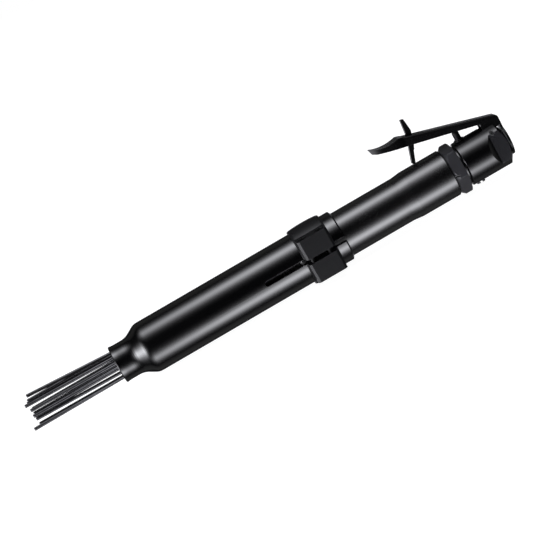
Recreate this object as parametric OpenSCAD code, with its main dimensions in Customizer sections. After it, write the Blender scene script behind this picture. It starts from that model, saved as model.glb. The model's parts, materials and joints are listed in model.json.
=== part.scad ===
// Straight needle scaler driven by air. All sizes are in millimetres.
// The tool lies along X. The air inlet is at the origin and faces +X, the needles point to -X,
// the throttle lever is on top (+Z) and the clamp ears are on the -Y side.

/* [Throttle head] */
// Outer diameter of the head
head_d = 40.4; // [38:0.2:44]
// Length from the rear face to the front face
head_len = 42.8; // [41:0.2:50]
// Diameter of the rear face inside its chamfer
head_tail_d = 27.6; // [26:0.2:30]
// Length of the rear chamfer
head_tail_len = 4.2; // [3:0.2:5]
// Chamfer of the front edge
head_lip = 1.2; // [0.6:0.1:2]
// Distance across the two milled side flats
flat_w = 29.8; // [28:0.2:32]
// Length of the side flats from the rear face
flat_len = 13; // [12:0.2:15]
// Diameter of the neck that enters the cylinder
neck_d = 35.8; // [35:0.1:36.2]
// Length of the neck
neck_len = 22.6; // [20:0.2:23]

/* [Air inlet] */
// Tapping diameter of the air inlet
inlet_d = 11.1; // [10.6:0.1:12]
// Depth of the tapped hole
inlet_len = 13; // [12:0.5:14]
// Diameter of the passage behind it
passage_d = 8; // [6:0.5:8.5]
// Thickness of the inlet screen
screen_t = 1; // [0.8:0.1:1.5]
// Diameter of one hole of the screen
screen_hole_d = 1.3; // [1:0.1:1.5]

/* [Throttle valve] */
// Distance of the valve axis from the rear face
valve_back = 34.6; // [34:0.1:35.4]
// Diameter of the valve stem
stem_d = 4; // [3.6:0.1:4.6]
// Diameter of the plunger, the part of the stem that slides in the bush
plunger_d = 6.1; // [5.6:0.1:6.4]
// Height of the shoulder of the plunger above the tool axis
plunger_z = 28.2; // [27:0.1:29]
// Diameter of the poppet
poppet_d = 9.4; // [8.8:0.1:9.8]
// Thickness of the poppet
poppet_t = 3; // [2:0.1:3.2]
// Diameter of the valve seat
seat_d = 7; // [6.4:0.1:7.4]
// Height of the valve seat above the tool axis
seat_z = 5; // [4.6:0.1:5.4]
// Diameter of the lower valve chamber
chamber_d = 11; // [10.6:0.1:11.4]
// Outer diameter of the stem bush
bush_d = 10.4; // [10:0.1:11]
// Height of the bush lip above the head
bush_lip = 0.9; // [0.5:0.1:1.4]
// Length of the valve plug
plug_len = 7; // [6:0.5:8]
// Diameter of the slotted boss of the plug
plug_boss_d = 7.8; // [7:0.1:8.4]
// Height of the slotted boss
plug_boss_h = 2; // [1.4:0.1:2.4]
// Wire of the valve spring
valve_wire = 0.8; // [0.6:0.05:1]
// Turns of the valve spring
valve_turns = 6; // [5:1:7]

/* [Throttle lever] */
// Width over the two flanges
lever_w = 14.4; // [13.6:0.1:15]
// Thickness of the pressed sheet
sheet_t = 1.8; // [1.5:0.1:2]
// Distance of the lever pin from the rear face
pin_back = 9.3; // [8.8:0.1:9.8]
// Height of the lever pin above the tool axis
pin_z = 13.6; // [13.2:0.1:13.8]
// Diameter of the lever pin
pin_d = 4; // [3:0.1:4.4]
// Radius of the lever ears round the pin
ear_r = 4.4; // [4:0.1:4.6]
// Height of the lever top over the rear face
lever_rear_z = 25.3; // [24.6:0.1:26]
// Angle of the lever top to the tool axis
lever_angle = 16.3; // [15.8:0.1:16.8]
// Angle of the lower edge of the flanges
flange_angle = 13.7; // [13.4:0.1:14.2]
// Height of the flange edge over the rear face
flange_rear_z = 20.2; // [19.8:0.1:21]
// Distance of the lever tip in front of the rear face
lever_len = 107.3; // [104:0.1:109]
// Distance of the start of the finger dish
dish_back = 80.8; // [78:0.1:82]
// Distance from there to the bottom of the dish
dish_lead = 9.4; // [9:0.1:10]
// Radius of the finger dish
dish_r = 34; // [32:0.5:38]
// Width of the finger dish
paddle_w = 18; // [17:0.2:19]
// Radius of the dish outline on each side
paddle_r = 31.4; // [31:0.2:33]
// Drop of the skirt round the dish below the lever tip
skirt_drop = 5.3; // [4:0.1:5.6]
// Distance from the tip at which the skirt meets the line of the flanges
skirt_run = 5.4; // [4:0.1:8]
// Outer radius of the ring-shaped back plate
ring_r = 13.9; // [13.5:0.1:14.2]
// Radius of the hole in the back plate
ring_hole_r = 8; // [7.6:0.1:10.8]
// Height of the lower edge of the flanges between the pin and the back plate
web_z = 15; // [14.6:0.1:17]
// Lean of the back plate
back_lean = 2; // [1:0.5:2.5]
// Radius of the bends of the sheet
bend_r = 2; // [1.8:0.1:2.6]
// Gap between the back plate and the head
back_gap = 0.3; // [0.25:0.05:0.5]

/* [Safety catch] */
// Distance of the catch pin from the rear face
catch_back = 69.6; // [69:0.1:70.4]
// Height of the catch pin above the tool axis
catch_z = 40.9; // [40.7:0.1:41.3]
// Diameter of the catch pin
catch_pin_d = 2.2; // [2:0.1:2.3]
// Width of the catch across the tool
catch_w = 5; // [4:0.2:5.2]
// Angle of the leg from the upright, towards the needles
leg_angle = 19.7; // [19:0.1:21]
// Distance of the leg's centre line in front of the pin
leg_offset = 1.9; // [1.5:0.1:2.2]
// Width of the leg at its root
leg_root_w = 4.6; // [4:0.1:4.8]
// Width of the leg at its foot
leg_foot_w = 3.2; // [2.8:0.1:3.6]
// Gap between the foot and the grip
foot_gap = 0.3; // [0.25:0.05:0.4]
// Length of the upper tab from the pin
tab_len = 19.4; // [17:0.2:20]
// Width of the tab at its tip
tab_tip_w = 3; // [2.6:0.1:3.4]
// Width of the tab at its root
tab_root_w = 5.6; // [5:0.1:6]
// Length of the catch slot in front of the pin
catch_slot_front = 6; // [5.6:0.1:6.2]
// Length of the catch slot behind the pin
catch_slot_rear = 12.1; // [11:0.1:13]
// Wire of the catch spring
catch_wire = 0.5; // [0.4:0.05:0.5]

/* [Lock nut] */
// Width across the flats
nut_af = 40.4; // [39:0.2:42]
// Length of the nut
nut_len = 11; // [9:0.5:12]
// Gap between nut and head
nut_gap = 1.5; // [0.5:0.1:2]
// Angle by which the nut is turned
nut_turn = 42.5; // [0:0.5:60]
// Distance by which the front chamfer reaches over the middle of the flats
nut_chamfer = 0.7; // [0.4:0.1:1.2]
// Length of the rounded rear corners
nut_rear_round = 1.6; // [1:0.1:2.4]
// Width of the staking notch in its front face
nut_notch_w = 1.3; // [1:0.1:1.6]

/* [Cylinder] */
// Length of the cylinder
cylinder_len = 149; // [146:0.5:155]
// Diameter of the rear grip part
grip_d = 43; // [42:0.2:44]
// Length of the rear grip part
grip_len = 37.3; // [35:0.2:40]
// Length of the taper in front of the grip
taper_len = 8.5; // [6:0.5:10]
// Diameter of the long front part
barrel_d = 41; // [40.4:0.1:41.4]
// Bore in which the piston runs
piston_d = 24; // [22:0.5:25]
// Diameter of the pocket for the valve stack
chest_d = 34; // [32:0.2:34.6]
// Socket in which the neck of the head screws
socket_d = 36; // [35.9:0.1:36.6]
// Diameter of the air ports along the wall
port_d = 3.6; // [3:0.1:4]

/* [Valve stack] */
// Thickness of the front plate
plate_t = 5; // [4:0.5:6]
// Length of the valve case
case_len = 12; // [10:0.5:13]
// Thickness of the cap
cap_t = 6; // [5:0.5:7]
// Diameter of the shuttle disc
shuttle_d = 18; // [16:0.5:19]
// Thickness of the shuttle disc
shuttle_t = 2.2; // [1.8:0.1:2.6]
// Free play of the shuttle disc
shuttle_play = 1.4; // [1:0.1:1.6]

/* [Piston and anvil] */
// Length of the piston
piston_len = 45; // [40:0.5:48]
// Length of the anvil bush
anvil_bush_len = 20; // [18:0.5:24]
// Outer diameter of the anvil bush
anvil_bush_d = 28; // [27:0.5:30]
// Diameter of the anvil shank
shank_d = 16; // [14:0.5:17]
// Length of the shank that reaches into the piston bore
shank_reach = 6; // [4:0.5:8]
// Diameter of the anvil neck
anvil_neck_d = 24; // [20:0.5:26]
// Diameter of the anvil head
anvil_head_d = 38; // [34:0.5:39]
// Length of the anvil head
anvil_head_len = 14; // [12:0.5:16]
// Distance from the cylinder to the front face of the anvil
anvil_len = 75.3; // [74:0.1:76]

/* [Needles] */
// Diameter of a needle
needle_d = 3; // [2.8:0.1:3]
// Length of the longest needle
needle_len = 183.6; // [180:0.2:186]
// Diameter of the needle head
needle_head_d = 4.8; // [4:0.1:5]
// Thickness of the needle head
needle_head_t = 2; // [1.5:0.1:2.5]
// Length of the drilled part of the needle holder
holder_len = 14; // [12:0.5:16]
// Space behind it in which the needle heads float
head_space = 7.3; // [7:0.1:8]
// Diameter of the boss that centres the return spring
holder_boss_d = 31; // [30:0.2:31.4]
// Length of that boss
holder_boss_len = 4; // [3:0.5:5]
// Diameter of the outer ring of needle holes
ring_pcd = 22; // [21.6:0.2:22.4]
// Diameter of the inner ring of needle holes
inner_pcd = 9; // [8.6:0.2:9.4]

/* [Front tube] */
// Wall of the tube
tube_wall = 2.75; // [2.4:0.05:3]
// Length of the tube with its nose
tube_len = 220.3; // [218:0.5:224]
// Length of the tube that sits on the cylinder
tube_overlap = 43.1; // [40:0.5:46]
// Outer diameter of the nose at its waist
nose_d = 33.2; // [32.6:0.1:34]
// Outer diameter of the rim round its mouth
mouth_d = 34.1; // [33.6:0.1:35]
// Distance over which the rim fades into the waist
rim_fade = 5.4; // [4:0.2:7]
// Bore of the nose
nose_bore_d = 27; // [26.8:0.1:27.6]
// Length of the nose bore
nose_len = 29.5; // [28:0.5:31]
// Distance from the nose end to the start of the flare
flare_start = 12.5; // [11:0.5:14]
// Steepest angle of the flare
flare_angle = 30; // [28:0.5:32]
// Radius at the foot of the flare
foot_r = 16; // [14:0.5:18]
// Radius at the shoulder of the flare
shoulder_r = 12; // [10:0.5:14]
// Length of the slot from the rear end
slot_len = 78.5; // [70:0.5:80]
// Width of the slot
slot_w = 4.7; // [4:0.1:5]

/* [Clamp] */
// Length of the clamp ring
clamp_len = 29.9; // [28:0.1:32]
// Distance of the clamp from the rear end of the tube
clamp_back = 10.1; // [8:0.1:12]
// Wall of the ring at its crown
clamp_wall = 2.95; // [2.6:0.05:3.6]
// Height of the crown over the ends
clamp_crown = 0.8; // [0.5:0.1:1.2]
// Distance of the ear faces from the crown of the ring
ear_reach = 8.6; // [7.8:0.1:9.6]
// Height over both ears
ear_h = 39.2; // [38:0.2:40]
// Length of the ears
ear_len = 27.8; // [26:0.2:28]
// Width of the slit between the ears
slit_w = 4.6; // [4:0.1:5]
// Bevel of the ear faces
ear_bevel = 2.1; // [1.5:0.1:2.5]
// Diameter of the clamp screws
screw_d = 5; // [4:0.5:5]
// Distance of the screws from the outside of the tube
screw_out = 5.7; // [5.5:0.1:6.1]
// Spacing of the screws
screw_pitch = 16.4; // [14:0.2:17]
// Diameter of the screw heads
screw_head_d = 8.5; // [8:0.1:8.5]
// Height of the screw heads
screw_head_h = 5; // [4:0.5:5]

/* [Return spring] */
// Wire diameter of the return spring
return_wire = 2.6; // [2.2:0.1:3]
// Turns of the return spring
return_turns = 7; // [6:1:8]

/* [Clearances] */
// Radial clearance of a running fit
run_gap = 0.05; // [0.03:0.01:0.08]
// Clearance between pieces that pass each other
pass_gap = 0.35; // [0.3:0.05:0.5]
// Clearance of a seat that stays put
seat_gap = 0.05; // [0.03:0.01:0.1]

/* [Hidden] */
$fn = 64;

// Stations along the tool
x_head_front = -head_len;
x_nut_rear = x_head_front - nut_gap;
x_nut_front = x_nut_rear - nut_len;
x_cylinder_rear = x_nut_front;
x_cylinder_front = x_cylinder_rear - cylinder_len;
x_neck_end = x_head_front - neck_len;
x_cap_front = x_neck_end - cap_t;
x_case_front = x_cap_front - case_len;
x_chest = x_case_front - plate_t;
x_bush_rear = x_cylinder_front + anvil_bush_len;
x_shank_end = x_bush_rear + shank_reach;
x_anvil_face = x_cylinder_front - anvil_len;
x_holder_rear = x_anvil_face - pass_gap - head_space;
x_holder_front = x_holder_rear - holder_len;
x_tube_rear = x_cylinder_front + tube_overlap;
x_nose = x_tube_rear - tube_len;
x_spring_seat = x_nose + nose_len;
x_clamp_mid = x_tube_rear - clamp_back - clamp_len / 2;
x_valve = -valve_back;
x_pin = -pin_back;
x_catch = -catch_back;

// Radii and heights that follow from the sizes above
tube_bore_r = barrel_d / 2 + run_gap;
tube_d = 2 * (tube_bore_r + tube_wall);
clamp_d = tube_d + 2 * (seat_gap + clamp_wall);
ear_face = clamp_d / 2 + ear_reach;
screw_y = tube_d / 2 + screw_out;
slot_top_w = lever_w + 2 * pass_gap;
slot_floor_z = pin_z - ear_r - 0.5;
slot_front = pin_back + ear_r + 2.6;
bush_floor_z = head_d / 2 - 8;
plug_face_z = -head_d / 2 + 0.8;
plug_top_z = plug_face_z + plug_len;
dowel_d = 3;
dowel_r = chest_d / 2 - 2.6;
port_r = (anvil_bush_d + barrel_d) / 4;
exhaust_x = (x_bush_rear + x_chest) / 2;
supply_x = x_bush_rear + shank_reach;
far = 200;

// Places of the needles in the mouth of the nose, across (Y) and up (Z), in the order of the holes
needle_mouths = [
    [8.8, 7.6], [3.9, 10.9], [-1.1, 11.4], [-7.5, 8.4], [-9.9, 3.7], [-10.9, -1.2],
    [-5.2, -10.1], [-0.9, -11.5], [6.2, -4.4], [3.8, 3.3], [-4.8, 0.1], [-3.9, -6.5]
];

// Places of their tips, and how far each is worn back behind the longest
needle_tips = [
    [9.9, 8.3, 5], [3.9, 11.3, 6.7], [-1.1, 16.3, 8.7], [-7.7, 10.4, 3.8], [-9.4, 5.3, 6.2],
    [-10.8, 0.2, 5.9], [-5.5, -9.2, 6.6], [-1, -12, 0], [7.2, -4.6, 5.5], [4.7, 3.1, 7],
    [-4.6, 0.9, 6.8], [-4.1, -4.5, 6.1]
];

// Turns a solid of revolution so that its axis lies along the tool
module along_x() {
    rotate([0, 90, 0]) children();
}

// A rod along the tool from station a to station b
module rod_x(a, b, r) {
    translate([a, 0, 0]) along_x() cylinder(h = b - a, r = r);
}

// An upright rod from height a to height b on the valve axis
module rod_z(a, b, r) {
    translate([x_valve, 0, a]) cylinder(h = b - a, r = r);
}

// A rod across the tool, centred on the middle plane
module rod_y(x, z, length, r) {
    translate([x, 0, z]) rotate([90, 0, 0]) cylinder(h = length, r = r, center = true);
}

// A side view drawn in X and Z, extruded to a width across the tool
module side_plate(width) {
    rotate([90, 0, 0]) linear_extrude(height = width, center = true) children();
}

// A closed tube of n sides along a path that never points straight up
module swept_tube(path, r, n = 6) {
    last = len(path) - 1;
    tangents = [for (i = [0:last]) path[min(i + 1, last)] - path[max(i - 1, 0)]];
    sides = [for (t = tangents) let (s = cross(t, [0, 0, 1])) s / norm(s)];
    rises = [for (i = [0:last]) let (w = cross(sides[i], tangents[i])) w / norm(w)];
    points = [for (i = [0:last]) for (k = [0:n - 1])
        path[i] + r * (cos(360 * k / n) * sides[i] + sin(360 * k / n) * rises[i])];
    walls = [for (i = [0:last - 1]) for (k = [0:n - 1])
        let (a = i * n + k, b = i * n + (k + 1) % n)
        each [[a, b, a + n], [b, b + n, a + n]]];
    caps = [[for (k = [n - 1:-1:0]) k], [for (k = [0:n - 1]) last * n + k]];
    polyhedron(points = points, faces = concat(walls, caps), convexity = 6);
}

// Centre line of a coil about Z that rises evenly from zero
function coil_path(r, rise, turns, steps = 8) =
    [for (i = [0:turns * steps])
        [r * cos(360 * i / steps), r * sin(360 * i / steps), rise * i / (turns * steps)]];

// Least gap between neighbouring turns of a coil
function coil_gap(rise, turns, wire) = rise / turns - wire;

module cylinder_bores() {
    rod_x(x_cylinder_front - 1, x_bush_rear, anvil_bush_d / 2 + seat_gap);
    rod_x(x_bush_rear - 1, x_chest + 1, piston_d / 2);
    rod_x(x_chest, x_neck_end, chest_d / 2);
    rod_x(x_neck_end - 0.4, x_cylinder_rear + 1, socket_d / 2);
}

// Supply ports run from the valve pocket to the front of the piston bore,
// exhaust ports run from the middle of the bore to the front face
module cylinder_ports() {
    for (turn = [45:90:315]) rotate([turn, 0, 0]) {
        translate([0, 0, dowel_r]) rod_x(supply_x, x_chest + 1, port_d / 2);
        translate([supply_x + port_d / 2, 0, piston_d / 2 - 1])
            cylinder(h = dowel_r - piston_d / 2 + 1, r = port_d / 2);
    }
    for (turn = [0:90:270]) rotate([turn, 0, 0]) {
        translate([0, 0, port_r]) rod_x(x_cylinder_front - 1, exhaust_x, port_d / 2);
        translate([exhaust_x - port_d / 2, 0, piston_d / 2 - 1])
            cylinder(h = port_r - piston_d / 2 + 1, r = port_d / 2);
    }
}

module cylinder_part() {
    x_grip = x_cylinder_rear - grip_len;
    x_taper = x_grip - taper_len;
    edge = 0.8;
    color("#26262a") difference() {
        along_x() rotate_extrude() polygon([
            [0, x_cylinder_front],
            [barrel_d / 2 - edge, x_cylinder_front],
            [barrel_d / 2, x_cylinder_front + edge],
            [barrel_d / 2, x_taper],
            [grip_d / 2, x_grip],
            [grip_d / 2, x_cylinder_rear - edge],
            [grip_d / 2 - edge, x_cylinder_rear],
            [0, x_cylinder_rear]
        ]);
        cylinder_bores();
        cylinder_ports();
    }
}

module anvil_bush() {
    edge = 1;
    color("#7c7c80") difference() {
        along_x() rotate_extrude() polygon([
            [0, x_cylinder_front],
            [anvil_bush_d / 2, x_cylinder_front],
            [anvil_bush_d / 2, x_bush_rear - edge],
            [anvil_bush_d / 2 - edge, x_bush_rear],
            [0, x_bush_rear]
        ]);
        rod_x(x_cylinder_front - 1, x_bush_rear + 1, shank_d / 2 + run_gap);
    }
}

// Holes for the two dowels that line up the valve stack
module dowel_holes() {
    for (side = [-1, 1]) translate([0, side * dowel_r, 0])
        rod_x(x_chest - 1, x_neck_end + 1, dowel_d / 2 + seat_gap);
}

module valve_plate() {
    color("#8a8a90") difference() {
        rod_x(x_chest, x_case_front, chest_d / 2 - seat_gap);
        rod_x(x_chest - 1, x_case_front + 1, piston_d / 4);
        for (turn = [45:90:315]) rotate([turn, 0, 0]) translate([0, 0, dowel_r])
            rod_x(x_chest - 1, x_case_front + 1, port_d / 2);
        dowel_holes();
    }
}

module valve_case() {
    x_step = x_case_front + case_len / 2 - shuttle_t / 2 - shuttle_play / 2;
    color("#9a9aa0") difference() {
        rod_x(x_case_front, x_cap_front, chest_d / 2 - seat_gap);
        rod_x(x_case_front - 1, x_cap_front + 1, shuttle_d / 2 - 2);
        rod_x(x_step, x_step + shuttle_t + shuttle_play, shuttle_d / 2 + run_gap);
        for (turn = [45:90:315]) rotate([turn, 0, 0]) translate([0, 0, dowel_r])
            rod_x(x_case_front - 1, x_cap_front + 1, port_d / 2);
        dowel_holes();
    }
}

module valve_cap() {
    color("#8a8a90") difference() {
        rod_x(x_cap_front, x_neck_end, chest_d / 2 - seat_gap);
        rod_x(x_cap_front - 1, x_neck_end + 1, shuttle_d / 4);
        for (turn = [45:90:315]) rotate([turn, 0, 0]) translate([0, 0, dowel_r])
            rod_x(x_cap_front - 1, x_neck_end + 1, port_d / 2);
        dowel_holes();
    }
}

module valve_dowels() {
    color("#b0b0b4") for (side = [-1, 1]) translate([0, side * dowel_r, 0])
        rod_x(x_chest + 0.3, x_neck_end - 0.3, dowel_d / 2);
}

// The nut has a wide conical chamfer with a staking notch in front and rounded corners at the back
module lock_nut() {
    corner_r = nut_af / 2 / cos(30);
    front_r = nut_af / 2 - nut_chamfer;
    rear_r = nut_af / 2 - 0.2;
    rear_rise = corner_r + 0.02 - rear_r;
    cone_len = corner_r + 0.02 - front_r;
    color("#2b2b30") difference() {
        intersection() {
            translate([x_nut_front, 0, 0]) along_x() rotate([0, 0, nut_turn])
                cylinder(h = nut_len, r = corner_r, $fn = 6);
            along_x() rotate_extrude() polygon(concat(
                [[0, x_nut_front], [front_r, x_nut_front], [corner_r + 0.02, x_nut_front + cone_len]],
                [for (a = [90:-22.5:0])
                    [rear_r + rear_rise * sin(a), x_nut_rear - nut_rear_round * (1 - cos(a))]],
                [[0, x_nut_rear]]
            ));
        }
        rod_x(x_nut_front - 1, x_nut_rear + 1, socket_d / 2);
        rotate([7.4, 0, 0]) translate([x_nut_front - 1, -corner_r - 1, -nut_notch_w / 2])
            cube([1 + cone_len, corner_r - neck_d / 2 - 0.6, nut_notch_w]);
    }
}

// Upright passages of the valve and the way of the air through the head
module head_passages() {
    rod_x(-inlet_len, 1, inlet_d / 2);
    rod_x(x_valve, -inlet_len + 1, passage_d / 2);
    rod_x(-inlet_len - 2 * screen_t, -inlet_len + 1, inlet_d / 2 - 0.6);
    rod_z(-head_d, plug_top_z + 0.6, chamber_d / 2);
    rod_z(plug_top_z, seat_z, chamber_d / 2 - 0.4);
    rod_z(seat_z - 1, bush_floor_z, seat_d / 2);
    rod_z(bush_floor_z, head_d, bush_d / 2 + seat_gap);
    translate([0, 0, (seat_z + bush_floor_z) / 2]) rod_x(x_neck_end - 1, x_valve, seat_d / 2 - 0.6);
}

module head_slot() {
    translate([-slot_front, -slot_top_w / 2, slot_floor_z])
        cube([slot_front + 1, slot_top_w, head_d]);
}

// Flats milled on both sides, each with a sloping run-out at its front
module side_flats() {
    run_out = (head_d - flat_w) / 2;
    for (side = [0, 1]) mirror([0, side, 0]) translate([0, 0, -head_d / 2])
        linear_extrude(height = head_d) polygon([
            [1, flat_w / 2],
            [-flat_len, flat_w / 2],
            [-flat_len - run_out - 1, flat_w / 2 + run_out + 1],
            [1, flat_w / 2 + run_out + 1]
        ]);
}

module valve_head() {
    color("#232327") difference() {
        along_x() rotate_extrude() polygon([
            [0, x_neck_end],
            [neck_d / 2 - 1, x_neck_end],
            [neck_d / 2, x_neck_end + 1],
            [neck_d / 2, x_head_front],
            [head_d / 2 - head_lip, x_head_front],
            [head_d / 2, x_head_front + head_lip],
            [head_d / 2, -head_tail_len],
            [head_tail_d / 2, 0],
            [0, 0]
        ]);
        head_passages();
        head_slot();
        side_flats();
        rod_y(x_pin, pin_z, head_d, pin_d / 2 + seat_gap);
    }
}

module stem_bush() {
    lip_z = head_d / 2 - 0.1;
    color("#3a3a3e") difference() {
        union() {
            rod_z(bush_floor_z, lip_z, bush_d / 2);
            rod_z(lip_z - 0.5, lip_z + bush_lip, bush_d / 2 - 0.8);
        }
        rod_z(bush_floor_z - 1, head_d, plunger_d / 2 + run_gap);
        rod_z(bush_floor_z - 1, bush_floor_z + 2, plunger_d / 2 + 1.2);
    }
}

// A ring of round section on the valve axis
module ring_z(z, inner_r, outer_r) {
    translate([x_valve, 0, z]) rotate_extrude() translate([(outer_r + inner_r) / 2, 0])
        circle(r = (outer_r - inner_r) / 2, $fn = 24);
}

module stem_o_ring() {
    color("#101012") ring_z(bush_floor_z + 1, plunger_d / 2 + run_gap, plunger_d / 2 + 1.15);
}

module valve_plug() {
    color("#303034") difference() {
        union() {
            rod_z(plug_face_z, plug_top_z, chamber_d / 2 - seat_gap);
            rod_z(plug_face_z - plug_boss_h, plug_face_z + 1, plug_boss_d / 2);
        }
        translate([x_valve - 1.2, -plug_boss_d, plug_face_z - plug_boss_h - 1])
            cube([2.4, 2 * plug_boss_d, plug_boss_h + 0.6]);
        translate([x_valve, 0, plug_top_z - 2.6]) rotate_extrude()
            translate([chamber_d / 2 - 1.1, 0]) square([2, 1.6]);
    }
}

module plug_o_ring() {
    color("#101012") ring_z(plug_top_z - 1.8, chamber_d / 2 - 1.1, chamber_d / 2 - seat_gap);
}

module inlet_screen() {
    row_pitch = 1.7;
    rim_r = inlet_d / 2 - 0.6 - seat_gap;
    x_rear = -inlet_len;
    color("#9c9c9c") difference() {
        rod_x(x_rear - 2 * screen_t, x_rear - screen_t, rim_r);
        for (ring = [0:2]) for (i = [0:max(6 * ring - 1, 0)])
            rotate([ring == 0 ? 0 : 60 * i / ring, 0, 0]) translate([0, 0, ring * row_pitch])
                rod_x(x_rear - 3 * screen_t, x_rear, screen_hole_d / 2);
    }
}

// A spring pin rolled from sheet, with its seam along the top
module lever_pin() {
    color("#4a4a4e") difference() {
        rod_y(x_pin, pin_z, flat_w, pin_d / 2);
        rod_y(x_pin, pin_z, flat_w + 2, pin_d / 4);
        translate([x_pin - 0.3, -flat_w, pin_z]) cube([0.6, 2 * flat_w, pin_d]);
    }
}

// Height of the outer face of the lever's top at station x
function lever_top(x) = lever_rear_z - x * tan(lever_angle);

// Height of the lower edge of its flanges
function flange_edge(x) = flange_rear_z - x * tan(flange_angle);

sheet_rise = sheet_t / cos(lever_angle);
x_dish = -dish_back - dish_lead;
z_dish = lever_top(-dish_back) + sqrt(dish_r * dish_r - dish_lead * dish_lead);
x_lip = -lever_len;
z_lip = z_dish - sqrt(dish_r * dish_r - (x_lip - x_dish) * (x_lip - x_dish));
x_lens = x_dish + 3.2;
lens_y = paddle_r - paddle_w / 2;
x_waist = x_lens + sqrt(paddle_r * paddle_r - pow(lens_y + lever_w / 2, 2));

// Station of the inner face of the leaning back plate at height z
function tail_face(z) = back_gap + (z + ring_r) * tan(back_lean);

// Side view of the channel of the lever and the back plate, with the rounded corner between them
module channel_side() {
    corner = 3.4;
    wall = sheet_t / cos(back_lean);
    reach = lever_rear_z - corner / cos(lever_angle);
    corner_x = (tail_face(reach) + (sheet_t - corner) / cos(back_lean))
        / (1 + tan(lever_angle) * tan(back_lean));
    corner_z = lever_top(corner_x) - corner / cos(lever_angle);
    polygon(concat(
        [
            [x_dish, flange_edge(x_dish)],
            [x_dish, lever_top(x_dish)]
        ],
        [for (i = [0:4]) let (a = 90 - lever_angle - (90 - lever_angle + back_lean) * i / 4)
            [corner_x + corner * cos(a), corner_z + corner * sin(a)]],
        [
            [tail_face(2) + wall, 2],
            [tail_face(2), 2],
            [tail_face(flange_rear_z), flange_rear_z]
        ]
    ));
}

// Side view of the part of the flanges that reaches down between the pin and the back plate
module web_side() {
    polygon([
        [x_pin, web_z],
        [x_pin, flange_edge(x_pin) + 1],
        [tail_face(flange_rear_z) + 0.2, flange_rear_z + 1],
        [tail_face(web_z) + 0.2, web_z]
    ]);
}

// The channel with its back plate and the parts of the flanges that reach down to the pin,
// all cut to the width and the round edges of one bent sheet
module channel() {
    over = lever_w + 2;
    intersection() {
        union() {
            side_plate(over) channel_side();
            side_plate(over) web_side();
            rod_y(x_pin, pin_z, over, ear_r);
            translate([x_pin - ear_r, -over / 2, pin_z])
                cube([2 * ear_r, over, flange_edge(x_pin) - pin_z + 2]);
        }
        bent_block();
        translate([x_waist, -over / 2, 0]) cube([far, over, far]);
    }
}

// Side view of the front of the lever: the flanges run on as a skirt round the finger dish,
// and the front end slants back from the tip
module dish_side() {
    slant = 0.3;
    above = dish_r / 3;
    polygon([
        [x_lip - slant * above, z_lip + above],
        [x_lip + slant * skirt_drop, z_lip - skirt_drop],
        [x_lip + skirt_run, flange_edge(x_lip + skirt_run)],
        [x_waist, flange_edge(x_waist)],
        [x_waist, lever_top(x_waist)],
        [-dish_back, lever_top(-dish_back)]
    ]);
}

// The dished front as a block whose outline, seen from above, is two arcs that meet near the tip
module paddle(inset) {
    intersection() {
        translate([x_lip - 5, -paddle_w, 0]) cube([x_waist - x_lip + 5, 2 * paddle_w, far]);
        linear_extrude(height = far) intersection_for(side = [-1, 1])
            translate([x_lens, side * lens_y]) circle(r = paddle_r - inset, $fn = 180);
        children();
    }
}

// A long block under the slope of the lever, with the round bends of the sheet along its top edges
module bent_block() {
    straight = lever_w - 2 * bend_r;
    depth = 60;
    translate([0, 0, lever_rear_z]) rotate([0, lever_angle, 0]) translate([-far / 2, 0, 0]) {
        translate([0, -lever_w / 2, -depth]) cube([far, lever_w, depth - bend_r]);
        translate([0, -straight / 2, -depth]) cube([far, straight, depth]);
        for (side = [-1, 1]) translate([0, side * straight / 2, -bend_r]) along_x()
            cylinder(h = far, r = bend_r);
    }
}

// Side view of what the sheet leaves open under the channel and the dish
module hollow_side() {
    x_front = x_lip + 1.5 * sheet_t;
    z_wall = web_z - 0.5;
    z_corner = flange_rear_z + 1;
    x_wall = tail_face(z_corner) - 0.1;
    difference() {
        polygon([
            [x_front, 0],
            [x_front, lever_top(x_front) - sheet_rise],
            [x_wall, lever_top(x_wall) - sheet_rise],
            [tail_face(z_wall) - 0.1, z_wall],
            [x_pin + ear_r + 1, z_wall],
            [x_pin + ear_r + 1, 0]
        ]);
        translate([x_dish, z_dish]) circle(r = dish_r + sheet_t, $fn = 180);
    }
}

module lever_hollow() {
    intersection() {
        side_plate(lever_w - 2 * sheet_t) hollow_side();
        translate([x_waist - 1.2, -lever_w, 0]) cube([far, 2 * lever_w, far]);
    }
    paddle(sheet_t) side_plate(far) hollow_side();
}

// A disc of height h in the plane of the back plate, centred on the air inlet
module inlet_disc(r, h) {
    translate([back_gap, 0, -ring_r]) rotate([0, back_lean, 0]) rotate([90, 0, 90])
        translate([0, ring_r, (sheet_t - h) / 2]) cylinder(h = h, r = r);
}

module throttle_lever() {
    catch_slot_w = catch_w + 2 * pass_gap;
    slot_start = lever_top(x_catch + catch_slot_rear) - 1.4 * sheet_t;
    color("#202024") difference() {
        union() {
            channel();
            paddle(0) side_plate(paddle_w) dish_side();
            inlet_disc(ring_r, sheet_t);
        }
        lever_hollow();
        inlet_disc(ring_hole_r, 3 * sheet_t);
        translate([x_dish, 0, z_dish]) rotate([90, 0, 0])
            cylinder(h = far, r = dish_r, center = true, $fn = 180);
        rod_y(x_pin, pin_z, far, pin_d / 2 + run_gap);
        rod_y(x_catch, catch_z, far, catch_pin_d / 2 + seat_gap);
        translate([x_catch - catch_slot_front, -catch_slot_w / 2, slot_start])
            cube([catch_slot_front + catch_slot_rear, catch_slot_w, far]);
    }
}

// Side view of the upright tab of the catch, about its pin
module tab_side() {
    polygon([
        [-tab_tip_w / 2, tab_len],
        [tab_tip_w / 2, tab_len - 0.4],
        [tab_root_w / 2, 7.8],
        [tab_root_w / 2 - 1, 4.5],
        [2, -1],
        [-2.4, -1],
        [-tab_root_w / 2, 7]
    ]);
}

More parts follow.
